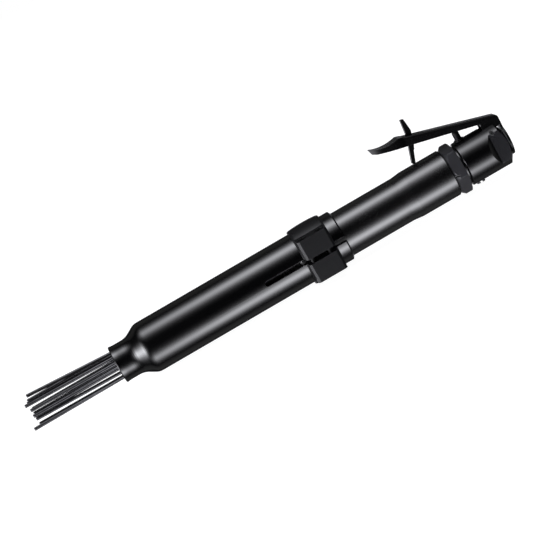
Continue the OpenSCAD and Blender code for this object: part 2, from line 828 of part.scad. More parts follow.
// Side view of its slanting leg, with the small step at the back
module leg_side() {
    leg = [-sin(leg_angle), -cos(leg_angle)];
    across = [cos(leg_angle), -sin(leg_angle)];
    root = [-leg_offset, 0] + 0.6 * leg;
    foot_drop = catch_z - grip_d / 2 - foot_gap - leg_foot_w / 4;
    foot = [-leg_offset, 0] + foot_drop / cos(leg_angle) * leg;
    polygon([
        root - leg_root_w / 2 * across,
        root + leg_root_w / 2 * across,
        root + 7 * leg + leg_root_w / 2 * across,
        root + 7.8 * leg + (leg_root_w / 2 - 0.6) * across,
        foot + leg_foot_w / 2 * across,
        foot + 0.9 * leg,
        foot - leg_foot_w / 2 * across
    ]);
}

module safety_catch() {
    color("#2a2a2e") difference() {
        translate([x_catch, 0, catch_z]) {
            side_plate(catch_w) tab_side();
            side_plate(catch_w) leg_side();
            rod_y(0, 0, catch_w, tab_root_w / 2 + 0.2);
        }
        rod_y(x_catch, catch_z, far, catch_pin_d / 2 + run_gap);
    }
}

// A rivet through both flanges of the lever
module catch_pin() {
    head_t = 0.4;
    color("#4a4a4e") {
        rod_y(x_catch, catch_z, lever_w + 0.2, catch_pin_d / 2);
        for (side = [-1, 1]) translate([0, side * (lever_w + head_t) / 2, 0])
            rod_y(x_catch, catch_z, head_t, catch_pin_d / 2 + 0.8);
    }
}

// Torsion spring beside the catch: one arm lies under the sheet, the other along the leg
module catch_spring() {
    r = catch_pin_d / 2 + 0.1 + catch_wire / 2;
    turns = 1.25;
    rise = 1.6;
    arm = 7;
    coil = coil_path(r, rise, turns);
    end_turn = 360 * turns;
    start = [r, 0, 0];
    end = [r * cos(end_turn), r * sin(end_turn), rise];
    lead_out = [-sin(end_turn), cos(end_turn), 0];
    path = concat(
        [start - [0, arm, 0], start - [0, arm / 4, 0]],
        coil,
        [end + arm / 4 * lead_out, end + arm * lead_out]
    );
    echo(str("catch spring gap ", coil_gap(rise, turns, catch_wire)));
    color("#88888c") translate([x_catch, catch_w / 2 + 0.3 + catch_wire / 2, catch_z])
        rotate([-90, 0, 0]) rotate([0, 0, 270 + lever_angle]) swept_tube(path, catch_wire / 2);
}

// Plunger with a domed tip, a poppet under the seat and a stub that centres the spring
module valve_stem() {
    dome = stem_d / 2;
    bevel = 0.8;
    under_sheet_z = lever_top(x_valve) - sheet_rise;
    dome_z = under_sheet_z - (dome + run_gap) / cos(lever_angle);
    poppet_z = seat_z - 0.05;
    color("#55555a") {
        rod_z(poppet_z - poppet_t, dome_z, stem_d / 2);
        translate([x_valve, 0, dome_z]) sphere(r = dome);
        rod_z(bush_floor_z - 0.5, plunger_z - bevel, plunger_d / 2);
        translate([x_valve, 0, plunger_z - bevel])
            cylinder(h = bevel, r1 = plunger_d / 2, r2 = plunger_d / 2 - bevel);
        rod_z(poppet_z - poppet_t, poppet_z, poppet_d / 2);
        rod_z(poppet_z - poppet_t - 4, poppet_z - poppet_t + 1, stem_d / 2 - 0.6);
    }
}

module valve_spring() {
    floor_z = plug_top_z + valve_wire / 2 + 0.05;
    top_z = seat_z - poppet_t - valve_wire / 2 - 0.1;
    r = chamber_d / 2 - 1.4;
    echo(str("valve spring gap ", coil_gap(top_z - floor_z, valve_turns, valve_wire)));
    color("#88888c") translate([x_valve, 0, floor_z])
        swept_tube(coil_path(r, top_z - floor_z, valve_turns), valve_wire / 2);
}

module shuttle_valve() {
    x_rear = x_case_front + case_len / 2 + shuttle_t / 2 + shuttle_play / 2 - 0.1;
    color("#b8b8bc") difference() {
        rod_x(x_rear - shuttle_t, x_rear, shuttle_d / 2);
        rod_x(x_rear - shuttle_t - 1, x_rear + 1, shuttle_d / 8);
    }
}

// A plain hammer with chamfered ends and two oil grooves
module piston() {
    x_rear = x_chest - pass_gap + 0.05;
    x_front = x_rear - piston_len;
    r = piston_d / 2 - run_gap;
    edge = 1.5;
    groove_w = 2;
    color("#a0a0a6") difference() {
        along_x() rotate_extrude() polygon([
            [0, x_front],
            [r - edge, x_front],
            [r, x_front + edge],
            [r, x_rear - edge],
            [r - edge, x_rear],
            [0, x_rear]
        ]);
        for (share = [0.25, 0.75]) translate([x_front + share * piston_len, 0, 0]) along_x()
            rotate_extrude() translate([r - 0.6, 0]) square([2, groove_w]);
        rod_x(x_rear - 12, x_rear + 1, piston_d / 6);
    }
}

module anvil() {
    x_back = x_anvil_face + anvil_head_len;
    edge = 1;
    color("#909096") along_x() rotate_extrude() polygon([
        [0, x_anvil_face],
        [anvil_head_d / 2 - edge, x_anvil_face],
        [anvil_head_d / 2, x_anvil_face + edge],
        [anvil_head_d / 2, x_back],
        [anvil_neck_d / 2, x_back + 6],
        [anvil_neck_d / 2, x_cylinder_front - pass_gap],
        [shank_d / 2, x_cylinder_front - pass_gap],
        [shank_d / 2, x_shank_end - edge],
        [shank_d / 2 - edge, x_shank_end],
        [0, x_shank_end]
    ]);
}

// Where the needles sit in the holder: nine on the outer ring, then three on the inner one
function hole_place(i) = i < 9
    ? let (a = 360 * (i + 0.25) / 9) ring_pcd / 2 * [cos(a), sin(a)]
    : let (a = 360 * (i + 0.25) / 3) inner_pcd / 2 * [cos(a), sin(a)];

module needle_holder() {
    r = tube_bore_r - run_gap;
    color("#78787e") difference() {
        union() {
            rod_x(x_holder_front, x_holder_rear + head_space, r);
            rod_x(x_holder_front - holder_boss_len, x_holder_front + 1, holder_boss_d / 2);
        }
        rod_x(x_holder_rear, x_holder_rear + head_space + 1, r - 4);
        for (i = [0:len(needle_tips) - 1]) let (p = hole_place(i))
            translate([0, p[0], p[1]])
                rod_x(x_holder_front - holder_boss_len - 1, x_holder_rear + 1, needle_d / 2 + 0.1);
    }
}

// Way of one needle from its head to its tip: straight in the holder, sprung over to its place in
// the nose, and straight on from there
function needle_way(i, steps = 5) =
    let (
        hole = hole_place(i),
        mouth = needle_mouths[i],
        end = needle_tips[i],
        x_bend = x_holder_front - holder_boss_len - needle_d,
        x_mouth = x_nose + nose_bore_d / 3
    )
    concat(
        [[x_holder_rear + needle_head_t / 2, hole[0], hole[1]]],
        [for (k = [0:steps]) let (t = k / steps, ease = t * t * (3 - 2 * t), p = hole + (mouth - hole) * ease)
            [x_bend + (x_mouth - x_bend) * t, p[0], p[1]]],
        [[x_holder_rear + needle_head_t - needle_len + end[2], end[0], end[1]]]
    );

module needles() {
    color("#77716a") for (i = [0:len(needle_tips) - 1]) let (hole = hole_place(i)) {
        translate([0, hole[0], hole[1]])
            rod_x(x_holder_rear, x_holder_rear + needle_head_t, needle_head_d / 2);
        swept_tube(needle_way(i), needle_d / 2, 12);
    }
}

// The coil is wide enough for the middle of its straight steps to clear the boss of the holder
module return_spring() {
    steps = 8;
    r = (holder_boss_d / 2 + pass_gap + return_wire / 2) / cos(180 / steps);
    x_start = x_spring_seat + return_wire / 2 + seat_gap;
    rise = x_holder_front - return_wire / 2 - seat_gap - x_start;
    echo(str("return spring gap ", coil_gap(rise, return_turns, return_wire)));
    color("#6f6f73") translate([x_start, 0, 0]) along_x()
        swept_tube(coil_path(r, rise, return_turns, steps), return_wire / 2);
}

// Rise and run of the flare between the nose and the body of the tube
flare_rise = (tube_d - nose_d) / 2;
flare_slope_rise = flare_rise - (foot_r + shoulder_r) * (1 - cos(flare_angle));
flare_run = (foot_r + shoulder_r) * sin(flare_angle) + flare_slope_rise / tan(flare_angle);

// Outline of the tube from the rounded rim of its mouth to the shoulder of the flare
function tube_outline() = let (x_foot = x_nose + flare_start, x_top = x_foot + flare_run, edge = 0.8)
    concat(
        [for (a = [0:30:90]) [mouth_d / 2 - edge * (1 - sin(a)), x_nose + edge * (1 - cos(a))]],
        [for (t = [0.25:0.25:1])
            [nose_d / 2 + (mouth_d - nose_d) / 2 * pow(1 - t, 2), x_nose + edge + t * rim_fade]],
        [for (a = [0:flare_angle / 5:flare_angle])
            [nose_d / 2 + foot_r * (1 - cos(a)), x_foot + foot_r * sin(a)]],
        [for (a = [flare_angle:-flare_angle / 5:0])
            [tube_d / 2 - shoulder_r * (1 - cos(a)), x_top - shoulder_r * sin(a)]]
    );

module front_tube() {
    rear_bevel = [1.8, 1.3];
    seat_chamfer = 0.5;
    slot_end = x_tube_rear - slot_len + slot_w / 2;
    color("#232327") difference() {
        along_x() rotate_extrude($fn = 96) polygon(concat(
            [[0, x_nose]],
            tube_outline(),
            [
                [tube_d / 2, x_tube_rear - rear_bevel[1]],
                [tube_d / 2 - rear_bevel[0], x_tube_rear],
                [0, x_tube_rear]
            ]
        ));
        rod_x(x_nose - 1, x_tube_rear, nose_bore_d / 2);
        translate([x_spring_seat, 0, 0]) along_x()
            cylinder(h = seat_chamfer, r1 = tube_bore_r - seat_chamfer, r2 = tube_bore_r);
        rod_x(x_spring_seat + seat_chamfer - 0.01, x_tube_rear + 1, tube_bore_r);
        translate([slot_end, -tube_d, -slot_w / 2]) cube([slot_len, tube_d, slot_w]);
        translate([slot_end, 0, 0]) rotate([90, 0, 0]) cylinder(h = tube_d, r = slot_w / 2);
    }
}

// Block on one side of the ring that carries the two screws, split by the slit
module clamp_ears() {
    side_y = ear_face - ear_bevel;
    translate([x_clamp_mid, 0, -ear_h / 2]) linear_extrude(height = ear_h) polygon([
        [-ear_len / 2, -clamp_d / 4],
        [-ear_len / 2, -side_y],
        [-ear_len / 2 + ear_bevel, -ear_face],
        [ear_len / 2 - ear_bevel, -ear_face],
        [ear_len / 2, -side_y],
        [ear_len / 2, -clamp_d / 4]
    ]);
}

// Runs its children once at each clamp screw, standing upright
module at_screws() {
    for (side = [-1, 1]) translate([x_clamp_mid + side * screw_pitch / 2, -screw_y, 0]) children();
}

module tube_clamp() {
    steps = 8;
    half = clamp_len / 2;
    x_rear = x_clamp_mid + half;
    color("#2c2c31") difference() {
        union() {
            along_x() rotate_extrude($fn = 96) polygon(concat(
                [[0, x_clamp_mid - half]],
                [for (i = [-steps:steps]) let (t = i / steps, edge = abs(i) == steps ? 0.5 : 0)
                    [clamp_d / 2 - clamp_crown * pow(t, 2) - edge, x_clamp_mid + t * half]],
                [[0, x_rear]]
            ));
            clamp_ears();
        }
        rod_x(x_clamp_mid - half - 1, x_rear + 1, tube_d / 2 + seat_gap);
        translate([x_clamp_mid - half - 1, -far, -slit_w / 2]) cube([clamp_len + 2, far, slit_w]);
        at_screws() {
            translate([0, 0, -ear_h]) cylinder(h = 2 * ear_h, r = screw_d / 2 + seat_gap);
            translate([0, 0, ear_h / 2 - screw_head_h - 0.4])
                cylinder(h = screw_head_h + 1, r = screw_head_d / 2 + pass_gap);
        }
    }
}

// Two socket head screws that draw the ears together
module clamp_screws() {
    seat_z0 = ear_h / 2 - screw_head_h - 0.4;
    socket = 0.8 * screw_d;
    color("#3c3c40") at_screws() difference() {
        union() {
            translate([0, 0, seat_z0]) cylinder(h = screw_head_h - 0.5, r = screw_head_d / 2);
            translate([0, 0, seat_z0 + screw_head_h - 0.5])
                cylinder(h = 0.5, r1 = screw_head_d / 2, r2 = screw_head_d / 2 - 0.5);
            translate([0, 0, 1 - ear_h / 2]) cylinder(h = ear_h / 2 + seat_z0, r = screw_d / 2);
        }
        translate([0, 0, seat_z0 + screw_head_h - 0.6 * screw_d])
            cylinder(h = screw_head_h, r = socket / 2 / cos(30), $fn = 6);
    }
}

cylinder_part();  // cylinder
anvil_bush();
valve_plate();
valve_case();
valve_cap();
valve_dowels();
lock_nut();
valve_head();
stem_bush();
stem_o_ring();
valve_spring();
valve_plug();
plug_o_ring();
inlet_screen();
lever_pin();
throttle_lever();
safety_catch();
catch_pin();
catch_spring();
valve_stem();
shuttle_valve();
piston();
anvil();
needle_holder();
needles();
return_spring();
front_tube();
tube_clamp();
clamp_screws();
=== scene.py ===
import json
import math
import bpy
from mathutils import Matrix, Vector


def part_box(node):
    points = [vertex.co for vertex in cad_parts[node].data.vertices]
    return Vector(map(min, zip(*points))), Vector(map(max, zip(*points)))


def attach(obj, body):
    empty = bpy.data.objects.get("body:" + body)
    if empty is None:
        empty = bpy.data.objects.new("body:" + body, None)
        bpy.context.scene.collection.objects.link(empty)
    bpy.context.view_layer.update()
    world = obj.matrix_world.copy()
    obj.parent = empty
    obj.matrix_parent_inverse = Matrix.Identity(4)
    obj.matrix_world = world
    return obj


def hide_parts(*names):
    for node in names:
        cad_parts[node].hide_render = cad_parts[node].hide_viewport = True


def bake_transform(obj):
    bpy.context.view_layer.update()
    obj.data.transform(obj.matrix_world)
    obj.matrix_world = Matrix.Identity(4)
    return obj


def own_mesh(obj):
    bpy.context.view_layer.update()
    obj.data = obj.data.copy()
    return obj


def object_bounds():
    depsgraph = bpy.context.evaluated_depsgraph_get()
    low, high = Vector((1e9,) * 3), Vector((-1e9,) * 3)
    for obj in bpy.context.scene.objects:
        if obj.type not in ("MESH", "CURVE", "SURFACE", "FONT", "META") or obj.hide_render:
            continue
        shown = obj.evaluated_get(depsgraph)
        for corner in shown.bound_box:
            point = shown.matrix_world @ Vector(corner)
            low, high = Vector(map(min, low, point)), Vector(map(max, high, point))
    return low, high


bl_info = {
    "name": "Straight needle scaler",
    "version": (1, 0, 0),
    "blender": (4, 5, 0),
    "location": "View3D > Sidebar > Needle Scaler",
    "description": "Finishes, needles, springs, inlet thread and studio for an air driven needle scaler",
    "category": "Object",
}

import bmesh
import bpy
from bpy.props import FloatProperty, FloatVectorProperty, PointerProperty
from mathutils import Matrix, Vector

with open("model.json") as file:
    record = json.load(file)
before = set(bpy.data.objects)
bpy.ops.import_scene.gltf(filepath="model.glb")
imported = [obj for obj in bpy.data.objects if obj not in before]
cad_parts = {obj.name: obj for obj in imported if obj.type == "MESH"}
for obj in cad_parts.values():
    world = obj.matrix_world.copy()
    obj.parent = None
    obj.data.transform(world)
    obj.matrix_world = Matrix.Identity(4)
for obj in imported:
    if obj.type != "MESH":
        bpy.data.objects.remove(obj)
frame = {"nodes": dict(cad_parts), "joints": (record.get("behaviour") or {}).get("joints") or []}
cad_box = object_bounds()

MM = 0.001
NODES = frame["nodes"]


def length_prop(name, description, default_mm):
    """A length in metres whose default is written in millimetres"""
    return FloatProperty(
        name=name, description=description, default=default_mm * MM, min=0.01 * MM, max=2.0,
        unit="LENGTH", precision=5,
    )


def colour_prop(name, description, default):
    """A linear colour"""
    return FloatVectorProperty(
        name=name, description=description, default=default, subtype="COLOR", size=3, min=0.0, max=1.0,
    )


def share_prop(name, description, default, high=1.0):
    """A plain number between 0 and a limit"""
    return FloatProperty(name=name, description=description, default=default, min=0.0, max=high)


def turns_prop(name, description, default):
    """A number of turns of a spring"""
    return FloatProperty(name=name, description=description, default=default, min=2.0, max=50.0)


def glow_prop(name, lamp, default):
    """Strength of a lamp at its centre"""
    return share_prop(name, "Brightest spot of the " + lamp, default, 50.0)


class ScalerFinishes(bpy.types.PropertyGroup):
    """Colours and gloss of the coatings and bare metals"""

    coating: colour_prop("Coating", "Black coating of tube, grip and head", (0.0008, 0.0008, 0.001))
    coating_rough: share_prop("Coating roughness", "Roughness of the coating on the front tube", 0.19)
    grip_rough: share_prop("Grip roughness", "Roughness of the coating on the barrel and grip", 0.26)
    head_rough: share_prop("Head roughness", "Roughness of the throttle head", 0.23)
    flats: colour_prop("Milled flats", "Dull grey of the flats on the head", (0.009, 0.009, 0.011))
    nut: colour_prop("Nut", "Phosphated black of the lock nut", (0.023, 0.023, 0.026))
    nut_rough: share_prop("Nut roughness", "Roughness of the lock nut", 0.3)
    clamp: colour_prop("Clamp", "Black of the cast clamp", (0.0035, 0.0035, 0.0042))
    clamp_rough: share_prop("Clamp roughness", "Roughness of the cast clamp", 0.4)
    lever: colour_prop("Lever", "Black of lever, catch and clamp screws", (0.0012, 0.0012, 0.0014))
    lever_rough: share_prop("Lever roughness", "Roughness of the pressed lever", 0.27)
    needle: colour_prop("Needle", "Dark drawn steel of the needles", (0.12, 0.12, 0.125))
    needle_rough: share_prop("Needle roughness", "Roughness of the needles", 0.16)
    steel: colour_prop("Ground steel", "Hardened and ground inner parts", (0.5, 0.5, 0.51))
    steel_rough: share_prop("Ground roughness", "Roughness of the ground parts", 0.28)
    spring: colour_prop("Spring steel", "Wire of the springs", (0.3, 0.3, 0.31))
    spring_rough: share_prop("Spring roughness", "Roughness of the spring wire", 0.33)
    dark_steel: colour_prop("Dark steel", "Black of pin, plug, stem and stem bush", (0.02, 0.02, 0.022))
    turned_rough: share_prop("Turned roughness", "Roughness of the stem and its bush", 0.35)
    oxide_rough: share_prop("Oxide roughness", "Roughness of pin, plug, thread and screws", 0.4)
    rubber: colour_prop("Rubber", "Seals", (0.012, 0.012, 0.012))
    rubber_rough: share_prop("Rubber roughness", "Roughness of the seals", 0.62)
    edge_radius: length_prop("Edge radius", "Rounding that the light catches on every edge", 0.35)


class ScalerSizes(bpy.types.PropertyGroup):
    """Sizes of the pieces that repeat or follow a path"""

    needle_d: length_prop("Needle diameter", "Drawn wire of a needle", 3.0)
    needle_head_d: length_prop("Needle head", "Diameter of the upset head", 4.8)
    needle_head_t: length_prop("Head thickness", "Thickness of the upset head", 2.0)
    tip_length: length_prop("Tip chamfer", "Length of the worn chamfer at a tip", 0.6)
    return_wire: length_prop("Return spring wire", "Wire of the return spring", 2.6)
    return_turns: turns_prop("Return spring turns", "All turns of the return spring", 7.0)
    valve_wire: length_prop("Valve spring wire", "Wire of the valve spring", 0.8)
    valve_turns: turns_prop("Valve spring turns", "All turns of the valve spring", 6.0)
    catch_wire: length_prop("Catch spring wire", "Wire of the torsion spring", 0.48)
    catch_turns: turns_prop("Catch spring turns", "Turns of the torsion spring on its pin", 3.25)
    catch_rise: length_prop("Catch spring length", "Length of its turns along the pin", 1.6)
    catch_arm: length_prop("Catch spring arm", "Length of each arm", 7.0)
    catch_pin_d: length_prop("Catch pin", "Diameter of the rivet that carries the catch", 2.2)
    lever_slope: FloatProperty(
        name="Lever slope", description="Angle of the lever's back to the tool at rest",
        default=math.radians(16.3), subtype="ANGLE",
    )
    inlet_d: length_prop("Inlet bore", "Tapping bore of the air inlet", 11.1)
    inlet_pitch: length_prop("Inlet thread pitch", "Pitch of the pipe thread", 1.41)
    thread_depth: length_prop("Thread depth", "Height of the thread ridges", 0.55)


class ScalerStudio(bpy.types.PropertyGroup):
    """Camera and lamps"""

    lens: FloatProperty(name="Lens", description="Focal length", default=134.72, unit="CAMERA")
    roll: FloatProperty(
        name="Roll", description="Tilt of the camera about its view",
        default=math.radians(-29.73), subtype="ANGLE",
    )
    upper_glow: glow_prop("Upper soft box", "soft box above the tool", 6.6)
    lower_glow: glow_prop("Lower soft box", "soft box below the tool", 7.8)
    flare_glow: glow_prop("Flare lamp", "lamp that meets the flared nose", 13.0)
    edge_glow: glow_prop("Edge lamp", "lamp that meets the clamp's bevels", 13.0)
    back_glow: glow_prop("Back soft box", "soft box behind the tool", 2.0)
    card_glow: share_prop("Grey cards", "Light of the cards beside and behind the tool", 0.12, 4.0)
    ambient: share_prop("Ambient", "Strength of the soft light from all sides", 0.35, 4.0)
    floor_white: share_prop("Floor", "Share of the floor's own white", 0.955, 2.0)


# Node helpers


def feed(tree, node, values):
    """Link or set a node's inputs by name or number"""
    for key, value in values.items():
        if isinstance(value, bpy.types.NodeSocket):
            tree.links.new(value, node.inputs[key])
        else:
            node.inputs[key].default_value = value


def put(tree, kind, values=None, **settings):
    """Add a node, set its settings, then its inputs"""
    node = tree.nodes.new(kind)
    for key, value in settings.items():
        setattr(node, key, value)
    feed(tree, node, values or {})
    return node


def calc(tree, operation, a, b=0.0, c=0.0, clamp=False):
    """The output of a Math node"""
    node = put(tree, "ShaderNodeMath", {0: a, 1: b, 2: c}, operation=operation, use_clamp=clamp)
    return node.outputs[0]


def axes(tree, vector):
    """The X, Y and Z of a vector"""
    return put(tree, "ShaderNodeSeparateXYZ", {0: vector}).outputs


def vector_of(tree, x, y, z):
    """A vector from its three parts"""
    return put(tree, "ShaderNodeCombineXYZ", {"X": x, "Y": y, "Z": z}).outputs["Vector"]


def scaled(tree, vector, scale):
    """A vector or colour times a number"""
    return put(tree, "ShaderNodeVectorMath", {0: vector, "Scale": scale}, operation="SCALE").outputs[0]


def object_place(tree):
    """Object coordinates"""
    return put(tree, "ShaderNodeTexCoord").outputs["Object"]


def noise(tree, place, scale, detail, roughness=0.5):
    """Soft noise from 0 to 1"""
    values = {"Vector": place, "Scale": scale, "Detail": detail, "Roughness": roughness}
    return put(tree, "ShaderNodeTexNoise", values).outputs["Fac"]


def ramp(tree, value, start, end):
    """0 as far as the start, 1 from the end on"""
    values = {"Value": value, "From Min": start, "From Max": end}
    return put(tree, "ShaderNodeMapRange", values).outputs["Result"]


def swing(tree, value, spread):
    """A value from 0 to 1 as a swing to both sides of 0"""
    return calc(tree, "MULTIPLY", calc(tree, "SUBTRACT", value, 0.5), spread)


def mixed(tree, share, plain, other):
    """A plain colour that gives way to another where the share is 1"""
    return put(tree, "ShaderNodeMix", {"Factor": share, 6: plain, 7: other}, data_type="RGBA").outputs[2]


def declare(tree, direction, sockets):
    """Give a node group its named sockets: (name, kind, default)"""
    for name, kind, default in sockets:
        socket = tree.interface.new_socket(name, in_out=direction, socket_type="NodeSocket" + kind)
        if default is not None:
            socket.default_value = default


def new_group(name, kind, inputs, outputs):
    """An empty node group, the sockets that it is given and its output node"""
    tree = bpy.data.node_groups.new(name, kind)
    declare(tree, "INPUT", inputs)
    declare(tree, "OUTPUT", outputs)
    return tree, tree.nodes.new("NodeGroupInput").outputs, tree.nodes.new("NodeGroupOutput")


def geometry_tree(name, inputs):
    """An empty geometry node tree that takes and gives geometry"""
    shape = [("Geometry", "Geometry", None)]
    return new_group(name, "GeometryNodeTree", shape + inputs, shape)


# Shared surface effects


# Height that the grain of a finish stands for where it is 1
GRAIN_HEIGHT = 0.01 * MM


def build_grain():
    """Fine orange peel and slow mottling of a sprayed or baked coating"""
    tree, given, result = new_group(
        "coating grain", "ShaderNodeTree",
        [
            ("Colour", "Color", (0.01, 0.01, 0.01, 1.0)),
            ("Roughness", "Float", 0.3),
            ("Grain per metre", "Float", 2600.0),
            ("Mottle", "Float", 0.15),
            ("Roughness spread", "Float", 0.05),
        ],
        [("Colour", "Color", None), ("Roughness", "Float", None), ("Height", "Float", None)],
    )
    mottle_per_metre = 34.0
    place = object_place(tree)
    peel = noise(tree, place, given["Grain per metre"], 2.0)
    slow = noise(tree, place, mottle_per_metre, 5.0, 0.6)
    shade = calc(tree, "ADD", swing(tree, slow, given["Mottle"]), 1.0)
    spread = given["Roughness spread"]
    slow_rough = calc(tree, "ADD", given["Roughness"], swing(tree, slow, spread))
    feed(tree, result, {
        "Colour": scaled(tree, given["Colour"], shade),
        "Roughness": calc(tree, "ADD", slow_rough, swing(tree, peel, spread), clamp=True),
        "Height": peel,
    })


def build_wear():
    """Mask of rubbed edges, broken up so that it never makes an even line"""
    tree, given, result = new_group(
        "edge wear", "ShaderNodeTree",
        [("Width", "Float", 0.0006), ("Amount", "Float", 0.5), ("Break-up per metre", "Float", 420.0)],
        [("Mask", "Float", None)],
    )
    round_edge = put(tree, "ShaderNodeBevel", {"Radius": given["Width"]}, samples=6)
    flat = put(tree, "ShaderNodeNewGeometry")
    facing = put(
        tree, "ShaderNodeVectorMath",
        {0: round_edge.outputs["Normal"], 1: flat.outputs["Normal"]}, operation="DOT_PRODUCT",
    )
    edge = ramp(tree, facing.outputs["Value"], 0.98, 0.86)
    spots = noise(tree, object_place(tree), given["Break-up per metre"], 4.0, 0.65)
    both = calc(tree, "MULTIPLY", edge, ramp(tree, spots, 0.5, 0.68))
    feed(tree, result, {"Mask": calc(tree, "MULTIPLY", both, given["Amount"], clamp=True)})


def build_turning():
    """Fine rings that a lathe leaves round the long axis of the tool"""
    tree, given, result = new_group(
        "turning marks", "ShaderNodeTree",
        [("Rings per metre", "Float", 2400.0), ("Depth", "Float", 1.0)],
        [("Height", "Float", None), ("Streak", "Float", None)],
    )
    around_per_metre = 30.0
    axis = axes(tree, object_place(tree))
    stretched = vector_of(
        tree,
        calc(tree, "MULTIPLY", axis["X"], given["Rings per metre"]),
        calc(tree, "MULTIPLY", axis["Y"], around_per_metre),
        calc(tree, "MULTIPLY", axis["Z"], around_per_metre),
    )
    rings = noise(tree, stretched, 1.0, 3.0, 0.7)
    feed(tree, result, {"Height": calc(tree, "MULTIPLY", rings, given["Depth"]), "Streak": rings})


def build_tarnish():
    """Brown and blue patches that heat and air leave on bare steel"""
    tree, given, result = new_group(
        "tarnish", "ShaderNodeTree",
        [
            ("Colour", "Color", (0.1, 0.1, 0.1, 1.0)),
            ("Tarnish colour", "Color", (0.06, 0.045, 0.03, 1.0)),
            ("Amount", "Float", 0.4),
            ("Patch per metre", "Float", 90.0),
        ],
        [("Colour", "Color", None), ("Mask", "Float", None)],
    )
    spots = noise(tree, object_place(tree), given["Patch per metre"], 5.0, 0.62)
    mask = calc(tree, "MULTIPLY", ramp(tree, spots, 0.42, 0.7), given["Amount"], clamp=True)
    feed(tree, result, {
        "Colour": mixed(tree, mask, given["Colour"], given["Tarnish colour"]),
        "Mask": mask,
    })


# Finishes


def start_material(name):
    """A new material, its node tree and its standard shader"""
    material = bpy.data.materials.new(name)
    material.use_nodes = True
    return material, material.node_tree, material.node_tree.nodes["Principled BSDF"]


def use_group(tree, name, values):
    """Place a shared shader group in a material with its own values"""
    return put(tree, "ShaderNodeGroup", values, node_tree=bpy.data.node_groups[name]).outputs


def rgba(colour):
    """A colour with full alpha"""
    return (colour[0], colour[1], colour[2], 1.0)


def soft_relief(tree, radius, samples, strength, height):
    """Normal of a surface with rounded edges and a fine relief"""
    soft = put(tree, "ShaderNodeBevel", {"Radius": radius}, samples=samples)
    relief = put(tree, "ShaderNodeBump", {
        "Strength": strength, "Distance": GRAIN_HEIGHT, "Height": height, "Normal": soft.outputs["Normal"],
    })
    return relief.outputs["Normal"]


def milled_flats(tree, half_width, colour):
    """Colour of a round body with two milled flats at its sides, dull grey on the flats alone"""
    place = put(tree, "ShaderNodeTexCoord").outputs
    across = calc(tree, "ABSOLUTE", axes(tree, place["Object"])["Y"])
    facing = calc(tree, "ABSOLUTE", axes(tree, place["Normal"])["Y"])
    near = calc(tree, "COMPARE", across, half_width, 0.2 * MM)
    mask = calc(tree, "MULTIPLY", near, calc(tree, "GREATER_THAN", facing, 0.99))
    return mixed(tree, mask, colour, rgba(bpy.context.scene.scaler_finishes.flats))


def coated(name, colour, roughness, grain=2600.0, peel=0.4, wear=0.2, specular=0.8, edge=1.0,
           lines=0.0, flats=None):
    """A black coating on steel: orange peel, mottling, soft edges and a little wear along them"""
    edge_radius = bpy.context.scene.scaler_finishes.edge_radius
    bare_metal = (0.22, 0.22, 0.23)
    tree, shader = start_material(name)[1:]
    grained = use_group(tree, "coating grain", {
        "Colour": rgba(colour), "Roughness": roughness, "Grain per metre": grain,
    })
    height = grained["Height"]
    shade = grained["Colour"]
    if lines:
        marks = use_group(tree, "turning marks", {"Rings per metre": 1500.0, "Depth": lines})
        height = calc(tree, "ADD", height, marks["Height"])
        streak = calc(tree, "MULTIPLY_ADD", marks["Streak"], 1.2 * lines, 1.0 - 0.6 * lines)
        shade = scaled(tree, shade, streak)
    if flats:
        shade = milled_flats(tree, flats, shade)
    worn = use_group(tree, "edge wear", {"Width": 1.6 * edge_radius, "Amount": wear})["Mask"]
    feed(tree, shader, {
        "Base Color": mixed(tree, worn, shade, rgba(bare_metal)),
        "Roughness": grained["Roughness"],
        "Metallic": worn,
        "Normal": soft_relief(tree, edge * edge_radius, 6, peel, height),
        "Specular IOR Level": specular,
    })


def bare_steel(name, colour, roughness, tarnish, rings=2400.0, stain=(0.08, 0.06, 0.045)):
    """Turned or ground steel with its marks and some tarnish"""
    edge_radius = bpy.context.scene.scaler_finishes.edge_radius
    tree, shader = start_material(name)[1:]
    marks = use_group(tree, "turning marks", {"Rings per metre": rings})
    patches = use_group(tree, "tarnish", {
        "Colour": rgba(colour), "Tarnish colour": rgba(stain), "Amount": tarnish,
    })
    dulled = calc(tree, "MULTIPLY_ADD", patches["Mask"], 0.15, roughness)
    feed(tree, shader, {
        "Base Color": patches["Colour"],
        "Roughness": calc(tree, "ADD", dulled, swing(tree, marks["Streak"], 0.12), clamp=True),
        "Normal": soft_relief(tree, 0.7 * edge_radius, 4, 0.3, marks["Height"]),
        "Metallic": 1.0,
    })


def moulded_rubber(name, colour, roughness):
    """Matt nitrile rubber"""
    tree, shader = start_material(name)[1:]
    grained = use_group(tree, "coating grain", {
        "Colour": rgba(colour), "Roughness": roughness, "Grain per metre": 5200.0, "Mottle": 0.3,
    })
    relief = put(tree, "ShaderNodeBump", {
        "Strength": 0.3, "Distance": GRAIN_HEIGHT, "Height": grained["Height"],
    })
    feed(tree, shader, {
        "Base Color": grained["Colour"],
        "Roughness": grained["Roughness"],
        "Normal": relief.outputs["Normal"],
    })


# Half the distance across the two milled flats of the head
FLAT_HALF_WIDTH = 14.9 * MM

